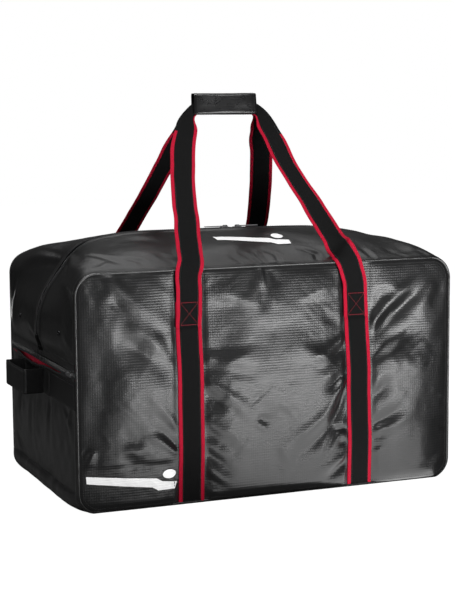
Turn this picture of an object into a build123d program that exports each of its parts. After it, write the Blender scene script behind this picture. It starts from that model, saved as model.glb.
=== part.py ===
"""Large tarpaulin hockey equipment bag: sewn shell, zipped top flaps, end pockets,
two webbing carry handles joined by a grip wrap, and a webbing loop on each end.

Frame: origin at the centre of the underside, +X along the length, front face at -Y,
+Z up. Millimetres.
"""
import os
from math import atan2, cos, degrees, radians, sin, sqrt, tan

from build123d import *

os.makedirs("parts", exist_ok=True)

# ---------------------------------------------------------------- driving sizes
LENGTH = 813.0          # shell, end to end
WIDTH = 483.0           # shell, front to back
SIDE_H = 468.0          # height of the front and back panels
RIDGE_H = 524.0         # height of the zip line across the top
WALL = 3.0              # shell thickness, fabric plus lining
GAP = 0.3               # clearance between bodies that move past each other

BOT_R = 42.0            # bottom corner radius of the end profile
TOP_R = 52.0            # top corner radius at the front and back panels
RIDGE_R = 115.0         # top corner radius along the zip line
FLAP_X = 290.0          # half length of the opening flaps
FLAP_Y = 14.0           # flap edge, each side of the zip
ZIP_Y = 16.0            # half width of the zip along the fixed ends

POCKET_ZIP_TOP = 294.0
POCKET_ZIP_LOW = 267.0
END_PANEL_TOP = 260.0
POCKET_DEPTH = 15.0
TAB_TOP = 321.0

STRAP_W = 54.0
STRAP_T = 2.0
STRAP_X = (-174.0, 190.0)   # centre of each strap sewn to the front
BACK_X = (-181.0, 181.0)    # and to the back
STRAP_TOP = 406.0       # where the strap leaves the panel
TAIL_LOW = 352.0        # lower end of the handle tail sewn over the strap
EDGE_Z = 472.0          # the handle leg bends here, over the piping
HANDLE_Z = 783.0        # centre of the hand grip
HANDLE_END_X = 76.0     # where the legs meet the hand run
RUN_Y = 6.0             # hand run of each handle, from the middle
GRIP_X = 69.5
GRIP_Y = 20.0
GRIP_LOW = 763.0
GRIP_TOP = 804.0
GRIP_T = 4.0

LOOP_OUT = 36.0         # end loop: pivot to pivot
LOOP_Y0 = -22.0         # front leg of the loop
LOOP_Y1 = 118.0         # rear leg of the loop
LOOP_LOW = 203.0
LOOP_TOP = 255.0
LOOP_T = 3.0

SLIDER_XL = 1.0         # main sliders at rest
SLIDER_XR = 29.0
EYELET_Y = 147.0
EYELET_Z = 344.0

HX = LENGTH / 2
HY = WIDTH / 2
INNER_Y = HY - WALL


def ridge_z(y):
    """Height of the top at distance y from the zip line."""
    return SIDE_H + (RIDGE_H - SIDE_H) * (1 - (y / HY) ** 2)


def corner_r(y):
    """Radius of the top corner at distance y from the zip line."""
    return TOP_R + (RIDGE_R - TOP_R) * (1 - abs(y) / HY)


def xz(y):
    """Sketch plane facing the front at position y: local x is X, local y is Z."""
    return Plane.XZ.offset(-y)


def save(builder, name):
    builder.part.label = name
    export_step(builder.part, f"parts/{name}.step")


# ---------------------------------------------------------------- front and back panels
def panel_outline(grow=0.0):
    """Front outline with its four rounded corners, as a closed wire."""
    x, low, top = HX + grow, 0.0 - grow, SIDE_H + grow
    rb, rt = BOT_R + grow, TOP_R + grow
    with BuildLine() as line:
        Line((-x + rb, low), (x - rb, low))
        RadiusArc((x - rb, low), (x, low + rb), -rb)
        Line((x, low + rb), (x, top - rt))
        RadiusArc((x, top - rt), (x - rt, top), -rt)
        Line((x - rt, top), (-x + rt, top))
        RadiusArc((-x + rt, top), (-x, top - rt), -rt)
        Line((-x, top - rt), (-x, low + rb))
        RadiusArc((-x, low + rb), (-x + rb, low), -rb)
    return line.wire()


outline = panel_outline()
outline_out = panel_outline(1.5)
outline_in = panel_outline(-4.5)

with BuildPart() as front_panel:
    with BuildSketch(xz(-HY)) as s:
        add(outline)
        make_face()
    extrude(amount=-WALL)

with BuildPart() as back_panel:
    with BuildSketch(xz(HY)) as s:
        add(outline)
        make_face()
    extrude(amount=WALL)

with BuildPart() as front_piping:
    with BuildSketch(xz(-HY)) as s:
        add(outline_out)
        make_face()
        with BuildLine(mode=Mode.PRIVATE) as inner:
            add(outline_in)
        make_face(inner.edges(), mode=Mode.SUBTRACT)
    extrude(amount=4.5)
    split(bisect_by=Plane.XY.offset(1.0), keep=Keep.TOP)

with BuildPart() as back_piping:
    mirror(front_piping.part, about=Plane.XZ)

# ---------------------------------------------------------------- base and lower ends
with BuildPart() as bottom_panel:
    with BuildSketch(Plane.XY) as s:
        Rectangle(2 * (HX - BOT_R), 2 * INNER_Y)
    extrude(amount=WALL)

with BuildPart() as left_end_panel:
    with BuildSketch(xz(-INNER_Y)) as s:
        with BuildLine() as profile:
            xo, xi, xc = -HX, -HX + WALL, -HX + BOT_R
            Line((xc, 0), (xc, WALL))
            RadiusArc((xc, WALL), (xi, BOT_R), BOT_R - WALL)
            Line((xi, BOT_R), (xi, END_PANEL_TOP))
            Line((xi, END_PANEL_TOP), (xo, END_PANEL_TOP))
            Line((xo, END_PANEL_TOP), (xo, BOT_R))
            RadiusArc((xo, BOT_R), (xc, 0), -BOT_R)
        make_face()
    extrude(amount=-2 * INNER_Y)

with BuildPart() as left_pocket_lining:
    with BuildSketch(xz(-INNER_Y)) as s:
        xp = -HX + WALL + POCKET_DEPTH
        Polyline_pts = [
            (xp, BOT_R + 2), (xp + 1.5, BOT_R + 2), (xp + 1.5, POCKET_ZIP_TOP),
            (-HX + WALL, POCKET_ZIP_TOP), (-HX + WALL, POCKET_ZIP_TOP - 1.5),
            (xp, POCKET_ZIP_TOP - 1.5),
        ]
        with BuildLine() as profile:
            Polyline(*Polyline_pts, close=True)
        make_face()
    extrude(amount=-2 * INNER_Y)
    with BuildSketch(xz(-INNER_Y)) as s:
        with BuildLine() as profile:
            Polyline(
                (-HX + WALL, BOT_R + 2), (xp, BOT_R + 2), (xp, BOT_R + 3.5),
                (-HX + WALL, BOT_R + 3.5), close=True,
            )
        make_face()
    extrude(amount=-2 * INNER_Y)

with BuildPart() as left_pocket_zip_upper:
    with BuildSketch(xz(-INNER_Y)) as s:
        with BuildLine() as profile:
            xo, xi = -HX, -HX + WALL
            Polyline(
                (xi, POCKET_ZIP_LOW), (xi, POCKET_ZIP_TOP), (xo, POCKET_ZIP_TOP),
                (xo, POCKET_ZIP_LOW + 7), (xo - 1.4, POCKET_ZIP_LOW + 6),
                (xo - 1.4, POCKET_ZIP_LOW + 1), (xo, POCKET_ZIP_LOW), close=True,
            )
        make_face()
    extrude(amount=-2 * INNER_Y)

with BuildPart() as left_pocket_zip_lower:
    with BuildSketch(xz(-INNER_Y)) as s:
        with BuildLine() as profile:
            Polyline(
                (-HX, LOOP_TOP + 0.2), (-HX, END_PANEL_TOP), (-HX - 0.8, END_PANEL_TOP),
                (-HX - 1.6, END_PANEL_TOP - 1), (-HX - 1.6, LOOP_TOP + 0.2), close=True,
            )
        make_face()
    extrude(amount=-2 * INNER_Y)

# ---------------------------------------------------------------- fixed top corners
def corner_station(y):
    """Section of the corner gusset in the plane y, as a thin bent strip."""
    zt, r = ridge_z(y), corner_r(y)
    xo, xi = -HX, -HX + WALL
    with BuildSketch(xz(y)) as sk:
        with BuildLine() as line:
            Line((xo, POCKET_ZIP_TOP), (xo, zt - r))
            RadiusArc((xo, zt - r), (xo + r, zt), r)
            Line((xo + r, zt), (-FLAP_X - GAP, zt))
            Line((-FLAP_X - GAP, zt), (-FLAP_X - GAP, zt - WALL))
            Line((-FLAP_X - GAP, zt - WALL), (xo + r, zt - WALL))
            RadiusArc((xo + r, zt - WALL), (xi, zt - r), -(r - WALL))
            Line((xi, zt - r), (xi, POCKET_ZIP_TOP))
            Line((xi, POCKET_ZIP_TOP), (xo, POCKET_ZIP_TOP))
        make_face()
    return sk


corner_sections = [
    corner_station(y).sketch.face() for y in (-INNER_Y + 0.05, -195.0, -150.0, -105.0, -60.0, -ZIP_Y)
]
with BuildPart() as left_front_top_corner:
    loft(corner_sections, ruled=True)
    with BuildSketch(Plane.YZ.offset(-HX - 10)) as s:
        with Locations((-EYELET_Y, EYELET_Z)):
            Circle(4.0)
    extrude(amount=20, mode=Mode.SUBTRACT)

with BuildPart() as left_back_top_corner:
    mirror(left_front_top_corner.part, about=Plane.XZ)

with BuildPart() as right_front_top_corner:
    mirror(left_front_top_corner.part, about=Plane.YZ)

with BuildPart() as right_back_top_corner:
    mirror(left_back_top_corner.part, about=Plane.YZ)

# zip carried round the corner and down the end
with BuildPart() as left_end_zip:
    for half, over in ((ZIP_Y - 0.05, 0.0), (5.2, 1.6)):
        with BuildSketch(xz(-half)) as s:
            zt, r = RIDGE_H - 0.4, RIDGE_R
            xo = -HX + 0.4
            with BuildLine() as profile:
                Line((xo - over, TAB_TOP), (xo - over, zt - r))
                RadiusArc((xo - over, zt - r), (xo + r, zt + over), r + over)
                Line((xo + r, zt + over), (-FLAP_X - GAP, zt + over))
                Line((-FLAP_X - GAP, zt + over), (-FLAP_X - GAP, zt - 1.6))
                Line((-FLAP_X - GAP, zt - 1.6), (xo + r, zt - 1.6))
                RadiusArc((xo + r, zt - 1.6), (xo + 1.6, zt - r), -(r - 1.6))
                Line((xo + 1.6, zt - r), (xo + 1.6, TAB_TOP))
                Line((xo + 1.6, TAB_TOP), (xo - over, TAB_TOP))
            make_face()
        extrude(amount=-2 * half)

with BuildPart() as left_zip_end_tab:
    with BuildSketch(xz(-ZIP_Y + 0.05)) as s:
        with BuildLine() as profile:
            Polyline(
                (-HX + WALL, POCKET_ZIP_TOP), (-HX + WALL, TAB_TOP), (-HX - 2.4, TAB_TOP),
                (-HX - 3.4, TAB_TOP - 2), (-HX - 3.4, POCKET_ZIP_TOP - 6),
                (-HX - 1.6, POCKET_ZIP_TOP - 6), (-HX - 0.02, POCKET_ZIP_TOP), close=True,
            )
        make_face()
    extrude(amount=-2 * (ZIP_Y - 0.05))

# ---------------------------------------------------------------- opening flaps
with BuildPart() as top_front_flap:
    with BuildSketch(Plane.YZ.offset(-FLAP_X)) as s:
        ya, yb = -INNER_Y + GAP, -FLAP_Y
        with BuildLine() as profile:
            stations = [ya + (yb - ya) * k / 6 for k in range(7)]
            upper = [(y, ridge_z(y)) for y in stations]
            lower = [(y, ridge_z(y) - WALL) for y in reversed(stations)]
            Polyline(*upper, *lower, close=True)
        make_face()
    extrude(amount=2 * FLAP_X)

with BuildPart() as top_back_flap:
    mirror(top_front_flap.part, about=Plane.XZ)

with BuildPart() as main_zip_front:
    with BuildSketch(Plane.YZ.offset(-FLAP_X)) as s:
        zt = RIDGE_H - 4.0
        with BuildLine() as profile:
            Polyline(
                (-30, zt - 1.4), (-GAP / 2, zt - 1.0), (-GAP / 2, zt + 3.8), (-5.2, zt + 3.8),
                (-5.6, zt), (-30, zt - 0.6), close=True,
            )
        make_face()
    extrude(amount=2 * FLAP_X)

with BuildPart() as main_zip_back:
    mirror(main_zip_front.part, about=Plane.XZ)

# ---------------------------------------------------------------- main sliders and pulls
SL_Z = RIDGE_H + 0.2


def slider_body(x, z, length=20.0, width=14.0):
    """Channel that rides over the zip chain, with a bridge for the pull."""
    with BuildPart() as body:
        with BuildSketch(Plane.XY.offset(z)) as s:
            with Locations((x, 0)):
                RectangleRounded(length, width, 3.0)
        extrude(amount=2.2)
        with BuildSketch(Plane.XY.offset(z - 2.8)) as s:
            with Locations((x, width / 2 - 0.6), (x, -width / 2 + 0.6)):
                Rectangle(length - 6, 1.2)
        extrude(amount=2.9)
        with BuildSketch(Plane.XZ.offset(-2.0)) as s:
            with BuildLine() as b:
                Polyline(
                    (x - 5.5, z + 2.0), (x - 5.5, z + 4.6), (x - 3.5, z + 6.4), (x + 3.5, z + 6.4),
                    (x + 5.5, z + 4.6), (x + 5.5, z + 2.0), close=True,
                )
            make_face()
        extrude(amount=4.0)
        with BuildSketch(Plane.XZ.offset(-3.0)) as s:
            with Locations((x, z + 3.9)):
                Circle(1.3)
        extrude(amount=6.0, mode=Mode.SUBTRACT)
    return body


def pull_tab(x, z, way, length=34.0, width=9.0):
    """Flat pull with a ring end that hooks through the slider's bridge."""
    zc = z + 3.9
    with BuildPart() as tab:
        with BuildSketch(Plane.XZ.offset(-4.0)) as s:
            with Locations((x, zc)):
                Circle(0.9)
        extrude(amount=8.0)
        with BuildSketch(Plane.XY.offset(zc - 0.8)) as s:
            with Locations((x + way * 10.0, 4.6), (x + way * 10.0, -4.6)):
                Rectangle(22.0, 1.6)
            with Locations((x + way * (12.6 + length / 2), 0)):
                RectangleRounded(length, width, 2.5)
            with Locations((x + way * (14.0 + length - 7.0), 0)):
                SlotOverall(8.0, 3.0, mode=Mode.SUBTRACT)
        extrude(amount=1.6)
    return tab


main_slider_left = slider_body(SLIDER_XL, SL_Z)
main_slider_right = slider_body(SLIDER_XR, SL_Z)
main_pull_left = pull_tab(SLIDER_XL, SL_Z, -1)
main_pull_right = pull_tab(SLIDER_XR, SL_Z, 1)

# ---------------------------------------------------------------- end pocket sliders
POCKET_SL_Y = -196.0
POCKET_SL_Z = POCKET_ZIP_LOW + 3.5
PX = -HX - 1.7

with BuildPart() as left_pocket_slider:
    with BuildSketch(Plane.YZ.offset(PX - 1.8)) as s:
        with Locations((POCKET_SL_Y, POCKET_SL_Z)):
            RectangleRounded(13.0, 9.0, 2.0)
    extrude(amount=1.8)
    with BuildSketch(Plane.YZ.offset(PX - 4.4)) as s:
        with Locations((POCKET_SL_Y, POCKET_SL_Z)):
            Rectangle(7.0, 3.0)
    extrude(amount=2.7)
    with BuildSketch(Plane.XY.offset(POCKET_SL_Z - 2.0)) as s:
        with Locations((PX - 3.1, POCKET_SL_Y)):
            Circle(0.85)
    extrude(amount=4.0, mode=Mode.SUBTRACT)

with BuildPart() as left_pocket_pull:
    with BuildSketch(Plane.XY.offset(POCKET_SL_Z - 3.4)) as s:
        with Locations((PX - 3.1, POCKET_SL_Y)):
            Circle(0.55)
    extrude(amount=6.8)
    with BuildSketch(Plane.YZ.offset(PX - 3.7)) as s:
        with Locations((POCKET_SL_Y - 4.0, POCKET_SL_Z + 3.0), (POCKET_SL_Y - 4.0, POCKET_SL_Z - 3.0)):
            Rectangle(9.0, 1.2)
        with Locations((POCKET_SL_Y - 18.4, POCKET_SL_Z)):
            RectangleRounded(22.0, 7.2, 2.0)
        with Locations((POCKET_SL_Y - 24.0, POCKET_SL_Z)):
            SlotOverall(6.0, 2.4, mode=Mode.SUBTRACT)
    extrude(amount=1.2)

# ---------------------------------------------------------------- vent eyelets
with BuildPart() as vent_eyelets:
    for sx in (-1, 1):
        for sy in (-1, 1):
            x_in = sx * (HX - WALL)
            with BuildSketch(Plane.YZ.offset(sx * (HX - WALL - 1.0))) as s:
                with Locations((sy * EYELET_Y, EYELET_Z)):
                    Circle(7.0)
                    Circle(2.6, mode=Mode.SUBTRACT)
            extrude(amount=sx * 1.0)
            with BuildSketch(Plane.YZ.offset(sx * (HX - WALL - 0.5))) as s:
                with Locations((sy * EYELET_Y, EYELET_Z)):
                    Circle(3.9)
                    Circle(2.6, mode=Mode.SUBTRACT)
            extrude(amount=sx * (WALL + 1.0))
            with BuildSketch(Plane.YZ.offset(sx * HX)) as s:
                with Locations((sy * EYELET_Y, EYELET_Z)):
                    Circle(6.5)
                    Circle(2.6, mode=Mode.SUBTRACT)
            extrude(amount=sx * 1.2)

# ---------------------------------------------------------------- sewn straps
def sewn_strap(x):
    """Strap sewn flat to the front panel, doubled where the handle's tail is box-stitched to it."""
    with BuildPart() as strap:
        with BuildSketch(xz(-HY)) as s:
            with Locations((x, (6.0 + STRAP_TOP - 2) / 2)):
                Rectangle(STRAP_W, STRAP_TOP - 2 - 6.0)
        extrude(amount=STRAP_T)
        with BuildSketch(xz(-HY - STRAP_T)) as s:
            with Locations((x, (TAIL_LOW + STRAP_TOP - 2) / 2)):
                Rectangle(STRAP_W, STRAP_TOP - 2 - TAIL_LOW)
        extrude(amount=STRAP_T)
    return strap


front_left_strap = sewn_strap(STRAP_X[0])
front_right_strap = sewn_strap(STRAP_X[1])
with BuildPart() as back_left_strap:
    mirror(sewn_strap(BACK_X[0]).part, about=Plane.XZ)
with BuildPart() as back_right_strap:
    mirror(sewn_strap(BACK_X[1]).part, about=Plane.XZ)

# ---------------------------------------------------------------- carry handles
HINGE_Y = -HY - 2 * STRAP_T - 2.0
HINGE_Z = STRAP_TOP - 1.0
leg_rise = HANDLE_Z - 22.0 - EDGE_Z
leg_in = -RUN_Y - HINGE_Y
LEAN = degrees(atan2(leg_in, leg_rise))
leg_len = sqrt(leg_in**2 + leg_rise**2)
# plane of the upper legs: local x is X, local y climbs from the panel's edge to the hand run
LEG_PLANE = Plane(
    origin=(0, HINGE_Y, EDGE_Z),
    x_dir=(1, 0, 0),
    z_dir=(0, -cos(radians(LEAN)), sin(radians(LEAN))),
)


def carry_handle(strap_x):
    """Webbing handle on the front side: two legs from the straps, meeting in the hand run."""
    half = STRAP_T / 2
    with BuildPart() as handle:
        for sx, foot in zip((-1, 1), strap_x):
            # free length against the panel
            with BuildSketch(xz(HINGE_Y + half)) as s:
                with Locations((foot, (HINGE_Z + 1.5 + EDGE_Z + 0.4) / 2)):
                    Rectangle(STRAP_W, EDGE_Z + 0.4 - HINGE_Z - 1.5)
            extrude(amount=STRAP_T)
            # leaning length up to the hand run
            with BuildSketch(LEG_PLANE.offset(-half)) as s:
                x0, x1, w = foot, sx * (HANDLE_END_X + 22.0), STRAP_W / 2
                with BuildLine() as leg:
                    Polyline((x0 - w, -0.4), (x0 + w, -0.4), (x1 + w - 1, leg_len), (x1 - w + 1, leg_len), close=True)
                make_face()
            extrude(amount=STRAP_T)
        # hand run, upright, joined to the legs at both ends
        with BuildSketch(xz(-RUN_Y + half)) as s:
            x1 = HANDLE_END_X + 22.0
            with BuildLine() as run:
                Polyline(
                    (-x1 - STRAP_W / 2 + 1, HANDLE_Z - 22.6), (-x1 + STRAP_W / 2 - 1, HANDLE_Z - 22.6),
                    (-HANDLE_END_X + 4, HANDLE_Z - 15), (HANDLE_END_X - 4, HANDLE_Z - 15),
                    (x1 - STRAP_W / 2 + 1, HANDLE_Z - 22.6), (x1 + STRAP_W / 2 - 1, HANDLE_Z - 22.6),
                    (HANDLE_END_X + 6, HANDLE_Z + 15), (-HANDLE_END_X - 6, HANDLE_Z + 15),
                    close=True,
                )
            make_face()
        extrude(amount=STRAP_T)
    return handle


front_handle = carry_handle(STRAP_X)
with BuildPart() as back_handle:
    mirror(carry_handle(BACK_X).part, about=Plane.XZ)

with BuildPart() as grip_wrap:
    with BuildSketch(Plane.YZ.offset(-GRIP_X)) as s:
        with BuildLine() as profile:
            Polyline(
                (-GRIP_Y, GRIP_LOW), (GRIP_Y, GRIP_LOW), (GRIP_Y, GRIP_LOW + GRIP_T),
                (-GRIP_Y + GRIP_T, GRIP_LOW + GRIP_T),
                (-GRIP_Y + GRIP_T, GRIP_TOP - GRIP_T - GAP), (-GRIP_Y, GRIP_TOP - GRIP_T - GAP),
                close=True,
            )
        make_face()
    extrude(amount=2 * GRIP_X)

with BuildPart() as grip_flap:
    with BuildSketch(Plane.YZ.offset(-GRIP_X)) as s:
        with BuildLine() as profile:
            Polyline(
                (-GRIP_Y, GRIP_TOP - GRIP_T), (-GRIP_Y, GRIP_TOP), (GRIP_Y, GRIP_TOP),
                (GRIP_Y, GRIP_LOW + GRIP_T + GAP), (GRIP_Y - GRIP_T, GRIP_LOW + GRIP_T + GAP),
                (GRIP_Y - GRIP_T, GRIP_TOP - GRIP_T), close=True,
            )
        make_face()
    extrude(amount=2 * GRIP_X)

# ---------------------------------------------------------------- end handle: band and loop
BAND_X = -HX - STRAP_T
FOOT_X = BAND_X - 2.2
TIP_X = FOOT_X - LOOP_OUT
RUN_X = TIP_X - 4.0

with BuildPart() as left_end_handle_band:
    with BuildSketch(Plane.YZ.offset(BAND_X)) as s:
        with Locations((0, (LOOP_LOW + LOOP_TOP) / 2)):
            Rectangle(2 * (INNER_Y - 1), LOOP_TOP - LOOP_LOW)
    extrude(amount=STRAP_T)


def loop_leg(y):
    with BuildPart() as leg:
        with BuildSketch(Plane.XY.offset(LOOP_LOW)) as s:
            with Locations(((FOOT_X + TIP_X) / 2, y)):
                SlotOverall(LOOP_OUT + LOOP_T, LOOP_T)
        extrude(amount=LOOP_TOP - LOOP_LOW)
    return leg


left_loop_front_leg = loop_leg(LOOP_Y0)
left_loop_rear_leg = loop_leg(LOOP_Y1)

with BuildPart() as left_loop_run:
    with BuildSketch(Plane.XY.offset(LOOP_LOW)) as s:
        with Locations((RUN_X, (LOOP_Y0 + LOOP_Y1) / 2)):
            SlotOverall(LOOP_Y1 - LOOP_Y0 + LOOP_T + 6, LOOP_T, rotation=90)
    extrude(amount=LOOP_TOP - LOOP_LOW)

# ---------------------------------------------------------------- printed pictograms
def stick_and_puck(plane, length, name):
    """Generic hockey stick lying over a puck, as a thin raised print."""
    k = length / 180.0
    with BuildPart() as mark:
        with BuildSketch(plane) as s:
            with BuildLine() as stick:
                Polyline(
                    (-90 * k, 16 * k), (-90 * k, 6 * k), (42 * k, -9 * k), (52 * k, -15 * k),
                    (86 * k, -15 * k), (90 * k, -5 * k), (58 * k, -3 * k), (48 * k, 1 * k), close=True,
                )
            make_face()
            with Locations((76 * k, 8 * k)):
                Ellipse(12 * k, 6.5 * k)
        extrude(amount=0.8)
    return mark


front_mark = stick_and_puck(
    Plane(origin=(-300, -HY, 56), x_dir=(1, 0, 0), z_dir=(0, -1, 0)), 183.0, "front_mark")
MARK_Y = -116.0
# chord of the flap facet under the mark
fa = [-INNER_Y + GAP + (-FLAP_Y + INNER_Y - GAP) * k / 6 for k in range(7)]
seg = max(k for k in range(6) if fa[k] <= MARK_Y)
za, zb = ridge_z(fa[seg]), ridge_z(fa[seg + 1])
tilt = atan2(zb - za, fa[seg + 1] - fa[seg])
MARK_Y = (fa[seg] + fa[seg + 1]) / 2
top_mark = stick_and_puck(
    Plane(origin=(14, MARK_Y, (za + zb) / 2), x_dir=(1, 0, 0), z_dir=(0, -sin(tilt), cos(tilt))),
    150.0, "top_mark")

# ---------------------------------------------------------------- mirrored right-hand pieces
mirrored = {}
for name, src in {
    "right_end_panel": left_end_panel,
    "right_pocket_lining": left_pocket_lining,
    "right_pocket_zip_upper": left_pocket_zip_upper,
    "right_pocket_zip_lower": left_pocket_zip_lower,
    "right_end_zip": left_end_zip,
    "right_zip_end_tab": left_zip_end_tab,
    "right_pocket_slider": left_pocket_slider,
    "right_pocket_pull": left_pocket_pull,
    "right_end_handle_band": left_end_handle_band,
    "right_loop_front_leg": left_loop_front_leg,
    "right_loop_run": left_loop_run,
    "right_loop_rear_leg": left_loop_rear_leg,
}.items():
    with BuildPart() as other:
        mirror(src.part, about=Plane.YZ)
    mirrored[name] = other

# ---------------------------------------------------------------- write the pieces
pieces = {
    "front_panel": front_panel, "back_panel": back_panel, "bottom_panel": bottom_panel,
    "left_end_panel": left_end_panel,
    "left_pocket_lining": left_pocket_lining,
    "left_pocket_zip_upper": left_pocket_zip_upper, "left_pocket_zip_lower": left_pocket_zip_lower,
    "left_front_top_corner": left_front_top_corner, "left_back_top_corner": left_back_top_corner,
    "right_front_top_corner": right_front_top_corner, "right_back_top_corner": right_back_top_corner,
    "left_end_zip": left_end_zip, "left_zip_end_tab": left_zip_end_tab,
    "front_piping": front_piping, "back_piping": back_piping, "vent_eyelets": vent_eyelets,
    "front_left_strap": front_left_strap, "front_right_strap": front_right_strap,
    "back_left_strap": back_left_strap, "back_right_strap": back_right_strap,
    "top_front_flap": top_front_flap, "top_back_flap": top_back_flap,
    "main_zip_front": main_zip_front, "main_zip_back": main_zip_back,
    "main_slider_left": main_slider_left, "main_slider_right": main_slider_right,
    "main_pull_left": main_pull_left, "main_pull_right": main_pull_right,
    "left_pocket_slider": left_pocket_slider, "left_pocket_pull": left_pocket_pull,
    "front_handle": front_handle, "back_handle": back_handle,
    "grip_wrap": grip_wrap, "grip_flap": grip_flap,
    "left_end_handle_band": left_end_handle_band,
    "left_loop_front_leg": left_loop_front_leg, "left_loop_run": left_loop_run,
    "left_loop_rear_leg": left_loop_rear_leg,
    "front_stick_print": front_mark, "top_stick_print": top_mark,
}
pieces.update(mirrored)
for name, builder in pieces.items():
    save(builder, name)
print("pieces", len(pieces), "handle lean", round(LEAN, 2), "leg", round(leg_len, 1),
      "hinge", HINGE_Y, HINGE_Z, "foot", FOOT_X, "tip", TIP_X)
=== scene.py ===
import math

import bpy
import numpy as np
from mathutils import Matrix, Vector, Quaternion


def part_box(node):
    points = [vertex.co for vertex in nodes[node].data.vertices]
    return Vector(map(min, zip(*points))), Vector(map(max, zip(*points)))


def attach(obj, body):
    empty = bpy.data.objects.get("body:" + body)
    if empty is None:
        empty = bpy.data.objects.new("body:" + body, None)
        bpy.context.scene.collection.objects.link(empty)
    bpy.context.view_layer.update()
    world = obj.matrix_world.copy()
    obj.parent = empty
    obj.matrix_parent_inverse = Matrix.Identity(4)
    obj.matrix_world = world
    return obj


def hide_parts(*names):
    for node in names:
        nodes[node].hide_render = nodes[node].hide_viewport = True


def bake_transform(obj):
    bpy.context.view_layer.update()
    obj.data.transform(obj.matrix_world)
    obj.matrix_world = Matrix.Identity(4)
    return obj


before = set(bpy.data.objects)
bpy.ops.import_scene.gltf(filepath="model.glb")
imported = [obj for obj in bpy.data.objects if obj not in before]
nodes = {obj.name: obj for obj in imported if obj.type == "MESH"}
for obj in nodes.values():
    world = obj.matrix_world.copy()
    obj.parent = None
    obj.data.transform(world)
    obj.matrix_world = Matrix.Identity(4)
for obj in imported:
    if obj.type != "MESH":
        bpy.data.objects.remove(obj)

scene = bpy.context.scene
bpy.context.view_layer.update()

# ------------------------------------------------------------------ sizes, millimetres
lo_f, hi_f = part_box("front_panel")
HX = hi_f[0] * 1000.0
HY = -lo_f[1] * 1000.0
SIDE = hi_f[2] * 1000.0
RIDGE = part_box("left_end_zip")[1][2] * 1000.0 - 1.2
BOT_R, TOP_R, RIDGE_R = 42.0, 44.0, 115.0
ZIP_TOP = 294.0
HINGE_Z = 405.0


# ------------------------------------------------------------------ numeric helpers
def sstep(a, b, x):
    t = np.clip((np.asarray(x, float) - a) / (b - a), 0, 1)
    return t * t * (3 - 2 * t)


def vnoise(x, y, seed=0):
    """Smooth value noise in -1..1, the same on every run."""
    table = np.random.RandomState(seed).uniform(-1, 1, (64, 64))
    x, y = np.broadcast_arrays(np.asarray(x, float) + 320.0, np.asarray(y, float) + 320.0)
    xi, yi = np.floor(x).astype(int), np.floor(y).astype(int)
    fx, fy = x - xi, y - yi
    sx = fx ** 3 * (fx * (fx * 6 - 15) + 10)
    sy = fy ** 3 * (fy * (fy * 6 - 15) + 10)
    a, b = table[xi % 64, yi % 64], table[(xi + 1) % 64, yi % 64]
    c, d = table[xi % 64, (yi + 1) % 64], table[(xi + 1) % 64, (yi + 1) % 64]
    return (a * (1 - sx) + b * sx) * (1 - sy) + (c * (1 - sx) + d * sx) * sy


def fold(x, z, pts, depth, width, a0=1.0, a1=0.25, ridge=0.38, lean=0.0):
    """Height of one crease along a polyline: a valley with a soft ridge on each side.
    depth is negative for a crest. lean moves the ridges to one side."""
    pts = np.asarray(pts, float)
    seg = np.hypot(*(pts[1:] - pts[:-1]).T)
    total = seg.sum()
    best = np.full(x.shape, 1e9)
    u = np.zeros(x.shape)
    side = np.zeros(x.shape)
    start = 0.0
    for k in range(len(seg)):
        p, q = pts[k], pts[k + 1]
        d = q - p
        t = np.clip(((x - p[0]) * d[0] + (z - p[1]) * d[1]) / (d @ d), 0, 1)
        ex, ez = x - (p[0] + t * d[0]), z - (p[1] + t * d[1])
        dist = np.hypot(ex, ez)
        near = dist < best
        best = np.where(near, dist, best)
        u = np.where(near, (start + t * seg[k]) / total, u)
        side = np.where(near, np.sign(ex * d[1] - ez * d[0]), side)
        start += seg[k]
    amp = (a0 + (max(a1, 0.35) - a0) * u) * sstep(1.0, 0.55, u)
    if a0 < 0.95:
        amp = amp * sstep(0.0, 0.35, u) * 1.25
    w = width * (0.8 + 0.6 * u)
    s = best / w
    valley = np.exp(-(s ** 2 + 0.02) ** 0.78)
    crest = np.exp(-((s - 1.75) / 0.85) ** 2) * (ridge + lean * side * np.minimum(s, 1))
    return depth * amp * (crest - valley)


def normals(P):
    du = np.gradient(P, axis=1)
    dv = np.gradient(P, axis=0)
    n = np.cross(du, dv)
    return n / np.maximum(np.linalg.norm(n, axis=-1, keepdims=True), 1e-9)


def arclen(C):
    d = np.linalg.norm(np.diff(C, axis=0), axis=1)
    return np.concatenate([[0], np.cumsum(d)])


def smooth_path(points, step=5.0, rounds=3):
    """Rounded polyline through the control points, evenly resampled."""
    P = np.asarray(points, float)
    for _ in range(rounds):
        q = [P[0]]
        for a, b in zip(P[:-1], P[1:]):
            q += [a * 0.75 + b * 0.25, a * 0.25 + b * 0.75]
        q.append(P[-1])
        P = np.array(q)
    s = arclen(P)
    n = max(2, int(round(s[-1] / step)))
    t = np.linspace(0, s[-1], n + 1)
    return np.stack([np.interp(t, s, P[:, k]) for k in range(P.shape[1])], -1)


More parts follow.
